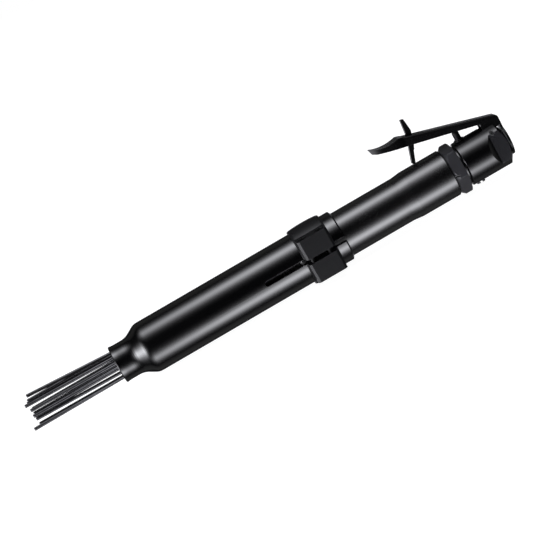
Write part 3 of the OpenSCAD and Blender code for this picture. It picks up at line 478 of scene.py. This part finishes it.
PARTS_BY_FINISH = {
    "tube coating": ["front_tube"],
    "grip coating": ["cylinder"],
    "head coating": ["valve_head"],
    "nut casting": ["lock_nut"],
    "clamp casting": ["tube_clamp"],
    "lever coating": ["throttle_lever", "safety_catch", "catch_pin"],
    "black oxide": ["lever_pin", "valve_plug"],
    "screw coating": ["clamp_screws"],
    "dark turned steel": ["stem_bush", "valve_stem"],
    "ground steel": [
        "anvil_bush", "valve_plate", "valve_case", "valve_cap", "valve_dowels", "inlet_screen",
        "shuttle_valve", "piston", "anvil", "needle_holder",
    ],
    "seal rubber": ["stem_o_ring", "plug_o_ring"],
}


class SCALER_OT_finishes(bpy.types.Operator):
    """Build the surface effects and the finishes, and give each machined part its own"""

    bl_idname = "scaler.finishes"
    bl_label = "Finishes"

    def execute(self, context):
        look = context.scene.scaler_finishes
        build_grain()
        build_wear()
        build_turning()
        build_tarnish()
        coated("tube coating", look.coating, look.coating_rough)
        coated("grip coating", look.coating, look.grip_rough, specular=1.0)
        coated("head coating", look.coating, look.head_rough, specular=0.67, flats=FLAT_HALF_WIDTH)
        coated("nut casting", look.nut, look.nut_rough, grain=1700.0, peel=0.7, wear=0.3, edge=2.2)
        coated("clamp casting", look.clamp, look.clamp_rough, grain=1700.0, peel=0.7, specular=0.28,
               lines=0.5)
        coated("lever coating", look.lever, look.lever_rough, wear=0.04, specular=0.2, edge=0.6)
        coated("black oxide", look.dark_steel, look.oxide_rough, wear=0.5)
        coated("screw coating", look.lever, look.oxide_rough, wear=0.1, specular=0.15)
        bare_steel("dark turned steel", look.dark_steel, look.turned_rough, 0.1)
        bare_steel("ground steel", look.steel, look.steel_rough, 0.15, stain=(0.3, 0.27, 0.24))
        bare_steel("needle steel", look.needle, look.needle_rough, 0.5, rings=900.0,
                   stain=(0.03, 0.03, 0.032))
        bare_steel("spring steel", look.spring, look.spring_rough, 0.2)
        moulded_rubber("seal rubber", look.rubber, look.rubber_rough)
        for finish, names in PARTS_BY_FINISH.items():
            for name in names:
                slots = NODES[name].data.materials
                slots.clear()
                slots.append(bpy.data.materials[finish])
        return {"FINISHED"}


# Pieces made by trees


def add_object(name, data):
    """A new object at the origin, in the scene"""
    thing = bpy.data.objects.new(name, data)
    bpy.context.scene.collection.objects.link(thing)
    return thing


def set_inputs(modifier, values):
    """Set a tree's inputs by the identifiers of its sockets"""
    for item in modifier.node_group.interface.items_tree:
        if item.item_type == "SOCKET" and item.in_out == "INPUT" and item.name in values:
            modifier[item.identifier] = values[item.name]


def grow(name, tree, base, values, finish):
    """Run a tree on a base mesh and keep its result as a plain mesh"""
    carrier = add_object(name + " base", base)
    modifier = carrier.modifiers.new("tree", "NODES")
    modifier.node_group = tree
    set_inputs(modifier, {**values, "Finish": bpy.data.materials[finish]})
    bpy.context.view_layer.update()
    ready = carrier.evaluated_get(bpy.context.evaluated_depsgraph_get())
    mesh = bpy.data.meshes.new_from_object(ready)
    mesh.name = name
    bpy.data.objects.remove(carrier)
    if not mesh.polygons:
        raise RuntimeError(name + " came out empty")
    return add_object(name, mesh)


def line_mesh(name, routes):
    """A mesh of loose polylines"""
    points = []
    edges = []
    for route in routes:
        first = len(points)
        points.extend(route)
        edges.extend((first + i, first + i + 1) for i in range(len(route) - 1))
    mesh = bpy.data.meshes.new(name)
    mesh.from_pydata(points, edges, [])
    return mesh


def seed_mesh():
    """A single point, for a tree that makes its own line"""
    return line_mesh("seed", [[(0, 0, 0)]])


def sweep(tree, curve, sides, radius):
    """A round wire along a curve, closed at both ends"""
    section = put(tree, "GeometryNodeCurvePrimitiveCircle", {"Resolution": sides, "Radius": radius})
    wire = put(tree, "GeometryNodeCurveToMesh", {
        "Curve": curve, "Profile Curve": section.outputs["Curve"], "Fill Caps": True,
    })
    return wire.outputs["Mesh"]


def on_circle(tree, angle, radius):
    """The two coordinates of a point on a circle"""
    return [calc(tree, "MULTIPLY", calc(tree, side, angle), radius) for side in ("COSINE", "SINE")]


def join(tree, parts):
    """Several geometries as one"""
    node = put(tree, "GeometryNodeJoinGeometry")
    for part in parts:
        tree.links.new(part, node.inputs["Geometry"])
    return node.outputs["Geometry"]


def finish_tree(tree, geometry, given, result):
    """Close a tree: make instances real, smooth gentle edges and give the finish"""
    sharp_angle = math.radians(34)
    real = put(tree, "GeometryNodeRealizeInstances", {"Geometry": geometry})
    smooth = put(tree, "GeometryNodeSetShadeSmooth", {"Geometry": real.outputs["Geometry"]})
    turn = put(tree, "GeometryNodeInputMeshEdgeAngle")
    sharp = put(
        tree, "FunctionNodeCompare", {0: turn.outputs["Unsigned Angle"], 1: sharp_angle},
        data_type="FLOAT", operation="GREATER_THAN",
    )
    edges = put(
        tree, "GeometryNodeSetShadeSmooth",
        {"Geometry": smooth.outputs["Geometry"], "Selection": sharp.outputs["Result"], "Shade Smooth": False},
        domain="EDGE",
    )
    painted = put(
        tree, "GeometryNodeSetMaterial",
        {"Geometry": edges.outputs["Geometry"], "Material": given["Finish"]},
    )
    feed(tree, result, {"Geometry": painted.outputs["Geometry"]})


def build_needle_tree():
    """Needles along routes: a round wire, a head at the start and a chamfered tip at the end"""
    tree, given, result = geometry_tree("needle bundle", [
        ("Diameter", "Float", 0.003),
        ("Head diameter", "Float", 0.0048),
        ("Head thickness", "Float", 0.002),
        ("Tip length", "Float", 0.0006),
        ("Finish", "Material", None),
    ])
    steps = 90
    sides = 18
    head_sides = 24
    worn_share = 0.7
    radius = calc(tree, "MULTIPLY", given["Diameter"], 0.5)
    curve = put(tree, "GeometryNodeMeshToCurve", {"Mesh": given["Geometry"]}).outputs["Curve"]
    smooth = put(tree, "GeometryNodeCurveSplineType", {"Curve": curve}, spline_type="CATMULL_ROM")
    way = put(tree, "GeometryNodeResampleCurve", {"Curve": smooth.outputs["Curve"], "Count": steps})
    head = put(tree, "GeometryNodeMeshCylinder", {
        "Vertices": head_sides, "Radius": calc(tree, "MULTIPLY", given["Head diameter"], 0.5),
        "Depth": given["Head thickness"],
    })
    tip = put(tree, "GeometryNodeMeshCone", {
        "Vertices": sides, "Radius Top": calc(tree, "MULTIPLY", radius, worn_share),
        "Radius Bottom": radius, "Depth": given["Tip length"],
    })
    tangent = put(tree, "GeometryNodeInputTangent").outputs["Tangent"]
    turned = put(tree, "FunctionNodeAlignRotationToVector", {"Vector": tangent}, axis="Z")
    parts = [sweep(tree, way.outputs["Curve"], sides, radius)]
    for shape, starts, ends in ((head, 1, 0), (tip, 0, 1)):
        chosen = put(tree, "GeometryNodeCurveEndpointSelection", {"Start Size": starts, "End Size": ends})
        placed = put(tree, "GeometryNodeInstanceOnPoints", {
            "Points": way.outputs["Curve"], "Selection": chosen.outputs["Selection"],
            "Instance": shape.outputs["Mesh"], "Rotation": turned.outputs["Rotation"],
        })
        parts.append(placed.outputs["Instances"])
    finish_tree(tree, join(tree, parts), given, result)
    return tree


def build_coil_tree():
    """A coil about Z that rises evenly between two closed end turns"""
    tree, given, result = geometry_tree("coil spring", [
        ("Radius", "Float", 0.01),
        ("Rise", "Float", 0.05),
        ("Turns", "Float", 7.0),
        ("Closed turns", "Float", 0.75),
        ("Wire", "Float", 0.002),
        ("Finish", "Material", None),
    ])
    steps_per_turn = 36.0
    sides = 14
    # A little under a half, so that closed turns stay apart
    radius_share = 0.49
    line = put(tree, "GeometryNodeCurvePrimitiveLine", {"End": (0.0, 0.0, 1.0)})
    steps = calc(tree, "MULTIPLY", given["Turns"], steps_per_turn)
    way = put(tree, "GeometryNodeResampleCurve", {"Curve": line.outputs["Curve"], "Count": steps})
    share = put(tree, "GeometryNodeSplineParameter").outputs["Factor"]
    turn = calc(tree, "MULTIPLY", share, given["Turns"])
    open_turns = calc(tree, "MULTIPLY_ADD", given["Closed turns"], -2.0, given["Turns"])
    after_closed = calc(tree, "MAXIMUM", calc(tree, "SUBTRACT", turn, given["Closed turns"]), 0.0)
    opened = calc(tree, "MINIMUM", after_closed, open_turns)
    closed_rise = calc(tree, "MULTIPLY", given["Turns"], given["Wire"])
    step = calc(tree, "DIVIDE", calc(tree, "SUBTRACT", given["Rise"], closed_rise), open_turns)
    height = calc(tree, "MULTIPLY_ADD", turn, given["Wire"], calc(tree, "MULTIPLY", opened, step))
    x, y = on_circle(tree, calc(tree, "MULTIPLY", turn, 2.0 * math.pi), given["Radius"])
    coil = put(tree, "GeometryNodeSetPosition", {
        "Geometry": way.outputs["Curve"], "Position": vector_of(tree, x, y, height),
    })
    radius = calc(tree, "MULTIPLY", given["Wire"], radius_share)
    finish_tree(tree, sweep(tree, coil.outputs["Geometry"], sides, radius), given, result)
    return tree


def build_wire_tree():
    """A bent wire: a round section along a route"""
    tree, given, result = geometry_tree("bent wire", [
        ("Wire", "Float", 0.0005),
        ("Finish", "Material", None),
    ])
    route = put(tree, "GeometryNodeMeshToCurve", {"Mesh": given["Geometry"]})
    radius = calc(tree, "MULTIPLY", given["Wire"], 0.5)
    finish_tree(tree, sweep(tree, route.outputs["Curve"], 12, radius), given, result)
    return tree


def build_thread_tree():
    """A screw thread about X: one ridge that winds from the start station towards minus X"""
    tree, given, result = geometry_tree("screw thread", [
        ("Start", "Float", 0.0),
        ("Length", "Float", 0.012),
        ("Pitch", "Float", 0.0014),
        ("Root radius", "Float", 0.0055),
        ("Crest radius", "Float", 0.005),
        ("Finish", "Material", None),
    ])
    steps_per_turn = 40.0
    points_across = 5
    # A little under a whole pitch, so that the turns stay apart
    ridge_share = 0.96
    ridge_wall = 0.1 * MM
    merge_distance = 0.001 * MM
    turns = calc(tree, "DIVIDE", given["Length"], given["Pitch"])
    ribbon = put(tree, "GeometryNodeMeshGrid", {
        "Size X": 1.0, "Size Y": 1.0, "Vertices Y": points_across,
        "Vertices X": calc(tree, "MULTIPLY", turns, steps_per_turn),
    })
    place = axes(tree, put(tree, "GeometryNodeInputPosition").outputs[0])
    along = calc(tree, "ADD", place["X"], 0.5)
    across = calc(tree, "ADD", place["Y"], 0.5)
    turn = calc(tree, "MULTIPLY", along, turns)
    turns_left = calc(tree, "MULTIPLY", calc(tree, "SUBTRACT", 1.0, along), turns)
    fade_in = calc(tree, "MULTIPLY", turn, 2.0)
    fade_out = calc(tree, "MULTIPLY", turns_left, 2.0)
    fade = calc(tree, "MINIMUM", fade_in, fade_out, clamp=True)
    off_middle = calc(tree, "ABSOLUTE", calc(tree, "MULTIPLY_ADD", across, 2.0, -1.0))
    crest = calc(tree, "SUBTRACT", 1.0, off_middle)
    rise = calc(tree, "SUBTRACT", given["Crest radius"], given["Root radius"])
    height = calc(tree, "MULTIPLY", calc(tree, "MULTIPLY", crest, rise), fade)
    radius = calc(tree, "ADD", given["Root radius"], height)
    wound = calc(tree, "MULTIPLY", along, calc(tree, "SUBTRACT", given["Length"], given["Pitch"]))
    width = calc(tree, "MULTIPLY", given["Pitch"], ridge_share)
    advance = calc(tree, "MULTIPLY_ADD", across, width, wound)
    y, z = on_circle(tree, calc(tree, "MULTIPLY", turn, 2.0 * math.pi), radius)
    spot = vector_of(tree, calc(tree, "SUBTRACT", given["Start"], advance), y, z)
    thread = put(tree, "GeometryNodeSetPosition", {"Geometry": ribbon.outputs["Mesh"], "Position": spot})
    raised = put(tree, "GeometryNodeExtrudeMesh", {
        "Mesh": thread.outputs["Geometry"], "Offset Scale": ridge_wall, "Individual": False,
    })
    back = put(tree, "GeometryNodeFlipFaces", {"Mesh": thread.outputs["Geometry"]})
    closed = put(tree, "GeometryNodeMergeByDistance", {
        "Geometry": join(tree, [raised.outputs["Mesh"], back.outputs["Mesh"]]), "Distance": merge_distance,
    })
    finish_tree(tree, closed.outputs["Geometry"], given, result)
    return tree


def needle_routes(head_t):
    """Centre lines of the needles, read from the rings of their CAD solids"""
    ring_gap = 1.5 * MM
    bm = bmesh.new()
    bm.from_mesh(NODES["needles"].data)
    bmesh.ops.remove_doubles(bm, verts=bm.verts, dist=0.001 * MM)
    left = set(bm.verts)
    routes = []
    while left:
        group = set()
        front = [left.pop()]
        while front:
            vert = front.pop()
            group.add(vert)
            for edge in vert.link_edges:
                other = edge.other_vert(vert)
                if other in left:
                    left.discard(other)
                    front.append(other)
        # Sorted on all three, so that the sums below don't depend on the order in the set
        spots = sorted((v.co.copy() for v in group), key=lambda co: (-co.x, co.y, co.z))
        rings = [[spots[0]]]
        for co in spots[1:]:
            if rings[-1][-1].x - co.x > ring_gap:
                rings.append([])
            rings[-1].append(co)
        centres = [sum(ring, Vector()) / len(ring) for ring in rings]
        centres[0].x = spots[0].x - head_t / 2
        centres[-1].x = spots[-1].x
        routes.append([tuple(c) for c in centres])
    bm.free()
    return sorted(routes)


class SCALER_OT_needles(bpy.types.Operator):
    """Sweep the twelve needles along their routes, with heads and worn tips"""

    bl_idname = "scaler.needles"
    bl_label = "Needles"

    def execute(self, context):
        sizes = context.scene.scaler_sizes
        routes = line_mesh("needle routes", needle_routes(sizes.needle_head_t))
        piece = grow("needle_bundle", build_needle_tree(), routes, {
            "Diameter": sizes.needle_d,
            "Head diameter": sizes.needle_head_d,
            "Head thickness": sizes.needle_head_t,
            "Tip length": sizes.tip_length,
        }, "needle steel")
        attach(piece, "needle_set")
        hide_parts("needles")
        return {"FINISHED"}


def wind_coil(name, tree, outer, length, wire, turns):
    """A coil spring that stands on Z and fills an outer radius and a length"""
    return grow(name, tree, seed_mesh(), {
        "Radius": outer - wire / 2,
        "Rise": length - wire,
        "Turns": turns,
        "Wire": wire,
    }, "spring steel")


class SCALER_OT_springs(bpy.types.Operator):
    """Wind the return spring and the valve spring with closed ends"""

    bl_idname = "scaler.springs"
    bl_label = "Return and valve springs"

    def execute(self, context):
        sizes = context.scene.scaler_sizes
        tree = build_coil_tree()

        low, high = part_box("return_spring")
        length = high.x - low.x
        wire = sizes.return_wire
        piece = wind_coil("return_coil", tree, (high.z - low.z) / 2, length, wire, sizes.return_turns)
        piece.data.transform(
            Matrix.Translation((low.x + wire / 2, 0.0, 0.0)) @ Matrix.Rotation(math.pi / 2, 4, "Y"))
        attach(piece, "needle_set")
        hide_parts("return_spring")
        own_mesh(piece)

        low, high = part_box("valve_spring")
        length = high.z - low.z
        wire = sizes.valve_wire
        centre = (low + high) / 2
        piece = wind_coil("valve_coil", tree, (high.y - low.y) / 2, length, wire, sizes.valve_turns)
        piece.data.transform(Matrix.Translation((centre.x, centre.y, low.z + wire / 2)))
        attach(piece, "handle")
        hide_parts("valve_spring")
        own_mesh(piece)
        return {"FINISHED"}


def catch_spring_route(sizes):
    """A close wound torsion spring about Z: an arm, the turns and a second arm"""
    clearance = 0.1 * MM
    steps_per_turn = 24
    radius = (sizes.catch_pin_d + sizes.catch_wire) / 2 + clearance
    arm = sizes.catch_arm
    last = 2.0 * math.pi * sizes.catch_turns
    steps = round(steps_per_turn * sizes.catch_turns)
    route = [(radius, -arm, 0.0), (radius, -arm / 4, 0.0)]
    for i in range(steps + 1):
        turn = last * i / steps
        route.append((radius * math.cos(turn), radius * math.sin(turn), sizes.catch_rise * i / steps))
    end = Vector(route[-1])
    ahead = Vector((-math.sin(last), math.cos(last), 0.0))
    route += [tuple(end + ahead * arm / 4), tuple(end + ahead * arm)]
    return route


class SCALER_OT_catch_spring(bpy.types.Operator):
    """Wind the torsion spring on the catch pin: one arm under the lever, the other along the catch"""

    bl_idname = "scaler.catch_spring"
    bl_label = "Catch spring"

    def execute(self, context):
        sizes = context.scene.scaler_sizes
        joint = next(j for j in frame["joints"] if j["name"] == "catch_turn")
        pin = Vector(joint["pos_m"])
        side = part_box("catch_spring")[0].y + sizes.catch_wire / 2
        route = line_mesh("route", [catch_spring_route(sizes)])
        piece = grow("catch_torsion_spring", build_wire_tree(), route, {
            "Wire": sizes.catch_wire,
        }, "spring steel")
        place = Matrix.Translation((pin.x, side, pin.z))
        upright = Matrix.Rotation(-math.pi / 2, 4, "X")
        turned = Matrix.Rotation(math.radians(270.0) + sizes.lever_slope, 4, "Z")
        piece.data.transform(place @ upright @ turned)
        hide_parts("catch_spring")
        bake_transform(piece)
        return {"FINISHED"}


class SCALER_OT_thread(bpy.types.Operator):
    """Cut the pipe thread of the air inlet"""

    bl_idname = "scaler.thread"
    bl_label = "Inlet thread"

    def execute(self, context):
        sizes = context.scene.scaler_sizes
        turns = 8.0
        bore = sizes.inlet_d / 2
        piece = grow("inlet_thread", build_thread_tree(), seed_mesh(), {
            "Start": -0.5 * MM,
            "Length": turns * sizes.inlet_pitch,
            "Pitch": sizes.inlet_pitch,
            "Root radius": bore + 0.02 * MM,
            "Crest radius": bore - sizes.thread_depth,
        }, "black oxide")
        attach(piece, "handle")
        return {"FINISHED"}


# Studio


# Where the camera looks, and where it stands
TARGET = Vector((-229.84, 0.0, 7.11)) * MM
CAMERA = Vector((-292.37, -1669.19, 343.10)) * MM
AHEAD = (TARGET - CAMERA).normalized()


def light_material(name):
    """A new material with an empty node tree, and that tree"""
    material, tree = start_material(name)[:2]
    tree.nodes.clear()
    return material, tree


def stage_object(name, points, faces, material):
    """A mesh of the studio"""
    mesh = bpy.data.meshes.new(name)
    mesh.from_pydata(points, [], faces)
    mesh.materials.append(material)
    return add_object(name, mesh)


def background_rays(tree):
    """1 for rays that show the background: straight, mirrored or through glass"""
    rays = put(tree, "ShaderNodeLightPath").outputs
    mirrored = calc(tree, "MAXIMUM", rays["Is Glossy Ray"], rays["Is Transmission Ray"])
    return calc(tree, "MAXIMUM", rays["Is Camera Ray"], mirrored)


def build_camera(studio):
    """The camera at the photograph's viewing angle"""
    data = bpy.data.cameras.new("photo camera")
    data.lens = studio.lens
    data.sensor_width = 36.0
    data.clip_start = 0.05
    data.clip_end = 50.0
    camera = add_object("photo camera", data)
    level = AHEAD.cross(Vector((0, 0, 1))).normalized()
    upright = level.cross(AHEAD)
    right = level * math.cos(studio.roll) + upright * math.sin(studio.roll)
    up = upright * math.cos(studio.roll) - level * math.sin(studio.roll)
    turn = Matrix((right, up, -AHEAD)).transposed().to_4x4()
    camera.matrix_world = Matrix.Translation(CAMERA) @ turn
    bpy.context.scene.camera = camera


def build_floor(white):
    """Pale floor that renders white and keeps a soft shadow"""
    half = 12.0
    under = cad_box[0].z - 0.2 * MM
    material, tree = light_material("pale floor")
    glow = put(tree, "ShaderNodeEmission", {"Strength": calc(tree, "MULTIPLY", background_rays(tree), white)})
    matt = put(tree, "ShaderNodeBsdfDiffuse", {"Color": (0.3, 0.3, 0.3, 1.0)})
    both = put(tree, "ShaderNodeAddShader", {0: glow.outputs["Emission"], 1: matt.outputs["BSDF"]})
    put(tree, "ShaderNodeOutputMaterial", {"Surface": both.outputs["Shader"]})
    corners = [(-half, -half, under), (half, -half, under), (half, half, under), (-half, half, under)]
    floor = stage_object("studio_floor", corners, [(0, 1, 2, 3)], material)
    floor.visible_glossy = False
    floor.visible_shadow = False
    floor.visible_diffuse = False


def build_cards(glow):
    """A tunnel of cards round the tool, closed behind its head: black towards the camera, so that
    the tool's black stays black, and dim grey beside and behind it"""
    distance = 2.0
    reach = 9.0
    steps = 48
    material, tree = light_material("card")
    axis = axes(tree, object_place(tree))
    grey = ramp(tree, calc(tree, "DIVIDE", axis["Y"], distance), -0.4, 0.3)
    lower = calc(tree, "MULTIPLY_ADD", axis["Z"], -0.3 / distance, 1.0)
    light = calc(tree, "MULTIPLY", grey, lower)
    tint = vector_of(tree, light, light, light)
    glowing = put(tree, "ShaderNodeEmission", {"Color": tint, "Strength": glow})
    put(tree, "ShaderNodeOutputMaterial", {"Surface": glowing.outputs["Emission"]})
    points = []
    for i in range(steps + 1):
        a = math.pi * (2 * i / steps - 1)
        for x in (-reach, reach):
            points.append((TARGET.x + x, -distance * math.cos(a), distance * math.sin(a)))
    faces = [(2 * i, 2 * i + 1, 2 * i + 3, 2 * i + 2) for i in range(steps)]
    faces.append([2 * i + 1 for i in range(steps)])
    tunnel = stage_object("cards", points, faces, material)
    tunnel.visible_camera = False
    tunnel.visible_diffuse = False
    tunnel.visible_shadow = False


def build_falloff():
    """Light of a soft box, brightest at its centre: it fades slowly along and quickly across"""
    tree, given, result = new_group(
        "soft box falloff", "ShaderNodeTree",
        [("Length", "Float", 1.0), ("Width", "Float", 0.2)],
        [("Colour", "Color", None)],
    )
    cool_white = (0.975, 0.98, 1.03)
    axis = axes(tree, object_place(tree))
    light = 1.0
    for side, size in (("X", "Length"), ("Y", "Width")):
        swell = calc(tree, "COSH", calc(tree, "DIVIDE", axis[side], given[size]))
        light = calc(tree, "DIVIDE", light, calc(tree, "MULTIPLY", swell, swell))
    feed(tree, result, {"Colour": scaled(tree, cool_white, light)})


def soft_box(name, toward, distance, fade, glow, aim):
    """A soft box that looks at the tool from a direction, its long side along the tool"""
    # Half its size, in lengths over which its light fades
    reach = 4.0
    half_length = reach * fade[0]
    half_width = reach * fade[1]
    material, tree = light_material(name)
    falloff = use_group(tree, "soft box falloff", {"Length": fade[0], "Width": fade[1]})
    lamp = put(tree, "ShaderNodeEmission", {"Color": falloff["Colour"], "Strength": glow})
    put(tree, "ShaderNodeOutputMaterial", {"Surface": lamp.outputs["Emission"]})
    corners = [
        (-half_length, -half_width, 0.0), (half_length, -half_width, 0.0),
        (half_length, half_width, 0.0), (-half_length, half_width, 0.0),
    ]
    box = stage_object(name, corners, [(0, 1, 2, 3)], material)
    back = Vector(toward).normalized()
    right = (Vector((1, 0, 0)) - back * back.x).normalized()
    up = back.cross(right)
    turn = Matrix((right, up, back)).transposed().to_4x4()
    box.matrix_world = Matrix.Translation(aim + back * distance) @ turn
    box.visible_camera = False
    box.visible_shadow = False
    return box


def beside_camera(degrees_up):
    """Direction that lies an angle above the camera's own height over the tool"""
    a = math.asin(-AHEAD.z) + math.radians(degrees_up)
    return (0, -math.cos(a), math.sin(a))


def build_lamps(studio):
    """Two long soft boxes, a lamp for the nose, one for the clamp and a dim soft box behind"""
    middle = Vector((-120.0, 0.0, 0.0)) * MM
    nut = sum(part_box("lock_nut"), Vector()) / 2
    long_fade = (0.36, 0.2)
    soft_box("upper soft box", beside_camera(62.5), 0.8, long_fade, studio.upper_glow, middle)
    soft_box("lower soft box", beside_camera(-57.0), 0.8, long_fade, studio.lower_glow, middle)
    soft_box("flare lamp", (-0.86, -0.5, 0.02), 1.0, (0.22, 0.25), studio.flare_glow, TARGET)
    soft_box("edge lamp", (-0.983, -0.155, -0.1), 1.2, (0.2, 0.2), studio.edge_glow, nut)
    behind = soft_box("back soft box", (0, 1, -0.2), 1.0, (0.5, 0.22), studio.back_glow, middle)
    behind.visible_diffuse = False


def build_world(ambient):
    """White where the background shows, and dim where it lights the tool"""
    world = bpy.data.worlds.new("studio world")
    bpy.context.scene.world = world
    world.use_nodes = True
    tree = world.node_tree
    strength = calc(tree, "MULTIPLY_ADD", background_rays(tree), 1.0 - ambient, ambient)
    feed(tree, tree.nodes["Background"], {"Color": (1.0, 1.0, 1.0, 1.0), "Strength": strength})


class SCALER_OT_studio(bpy.types.Operator):
    """Floor, backdrop, lamps and the camera at the photograph's viewing angle"""

    bl_idname = "scaler.studio"
    bl_label = "Studio"

    def execute(self, context):
        studio = context.scene.scaler_studio
        context.scene.view_settings.view_transform = "Standard"
        for name in ("Cube", "Light", "Camera"):
            if name in bpy.data.objects:
                bpy.data.objects.remove(bpy.data.objects[name])
        build_camera(studio)
        build_floor(studio.floor_white)
        build_cards(studio.card_glow)
        build_falloff()
        build_lamps(studio)
        build_world(studio.ambient)
        return {"FINISHED"}


class SCALER_PT_panel(bpy.types.Panel):
    """Lists the steps that dress the needle scaler"""

    bl_label = "Needle Scaler"
    bl_space_type = "VIEW_3D"
    bl_region_type = "UI"
    bl_category = "Needle Scaler"

    def draw(self, context):
        for operator in OPERATORS:
            self.layout.operator(operator.bl_idname)


OPERATORS = (
    SCALER_OT_studio, SCALER_OT_finishes, SCALER_OT_needles, SCALER_OT_springs, SCALER_OT_catch_spring,
    SCALER_OT_thread,
)
GROUPS = {
    "scaler_finishes": ScalerFinishes,
    "scaler_sizes": ScalerSizes,
    "scaler_studio": ScalerStudio,
}


def register():
    """Add the settings, the operators and the panel"""
    for name, group in GROUPS.items():
        bpy.utils.register_class(group)
        setattr(bpy.types.Scene, name, PointerProperty(type=group))
    for operator in OPERATORS:
        bpy.utils.register_class(operator)
    bpy.utils.register_class(SCALER_PT_panel)


def unregister():
    """Take the panel, the operators and the settings away"""
    bpy.utils.unregister_class(SCALER_PT_panel)
    for operator in reversed(OPERATORS):
        bpy.utils.unregister_class(operator)
    for name, group in GROUPS.items():
        delattr(bpy.types.Scene, name)
        bpy.utils.unregister_class(group)


def main():
    """Dress the frame"""
    register()
    bpy.ops.scaler.studio()
    bpy.ops.scaler.finishes()
    bpy.ops.scaler.needles()
    bpy.ops.scaler.springs()
    bpy.ops.scaler.catch_spring()
    bpy.ops.scaler.thread()


if __name__ == "__main__":
    main()
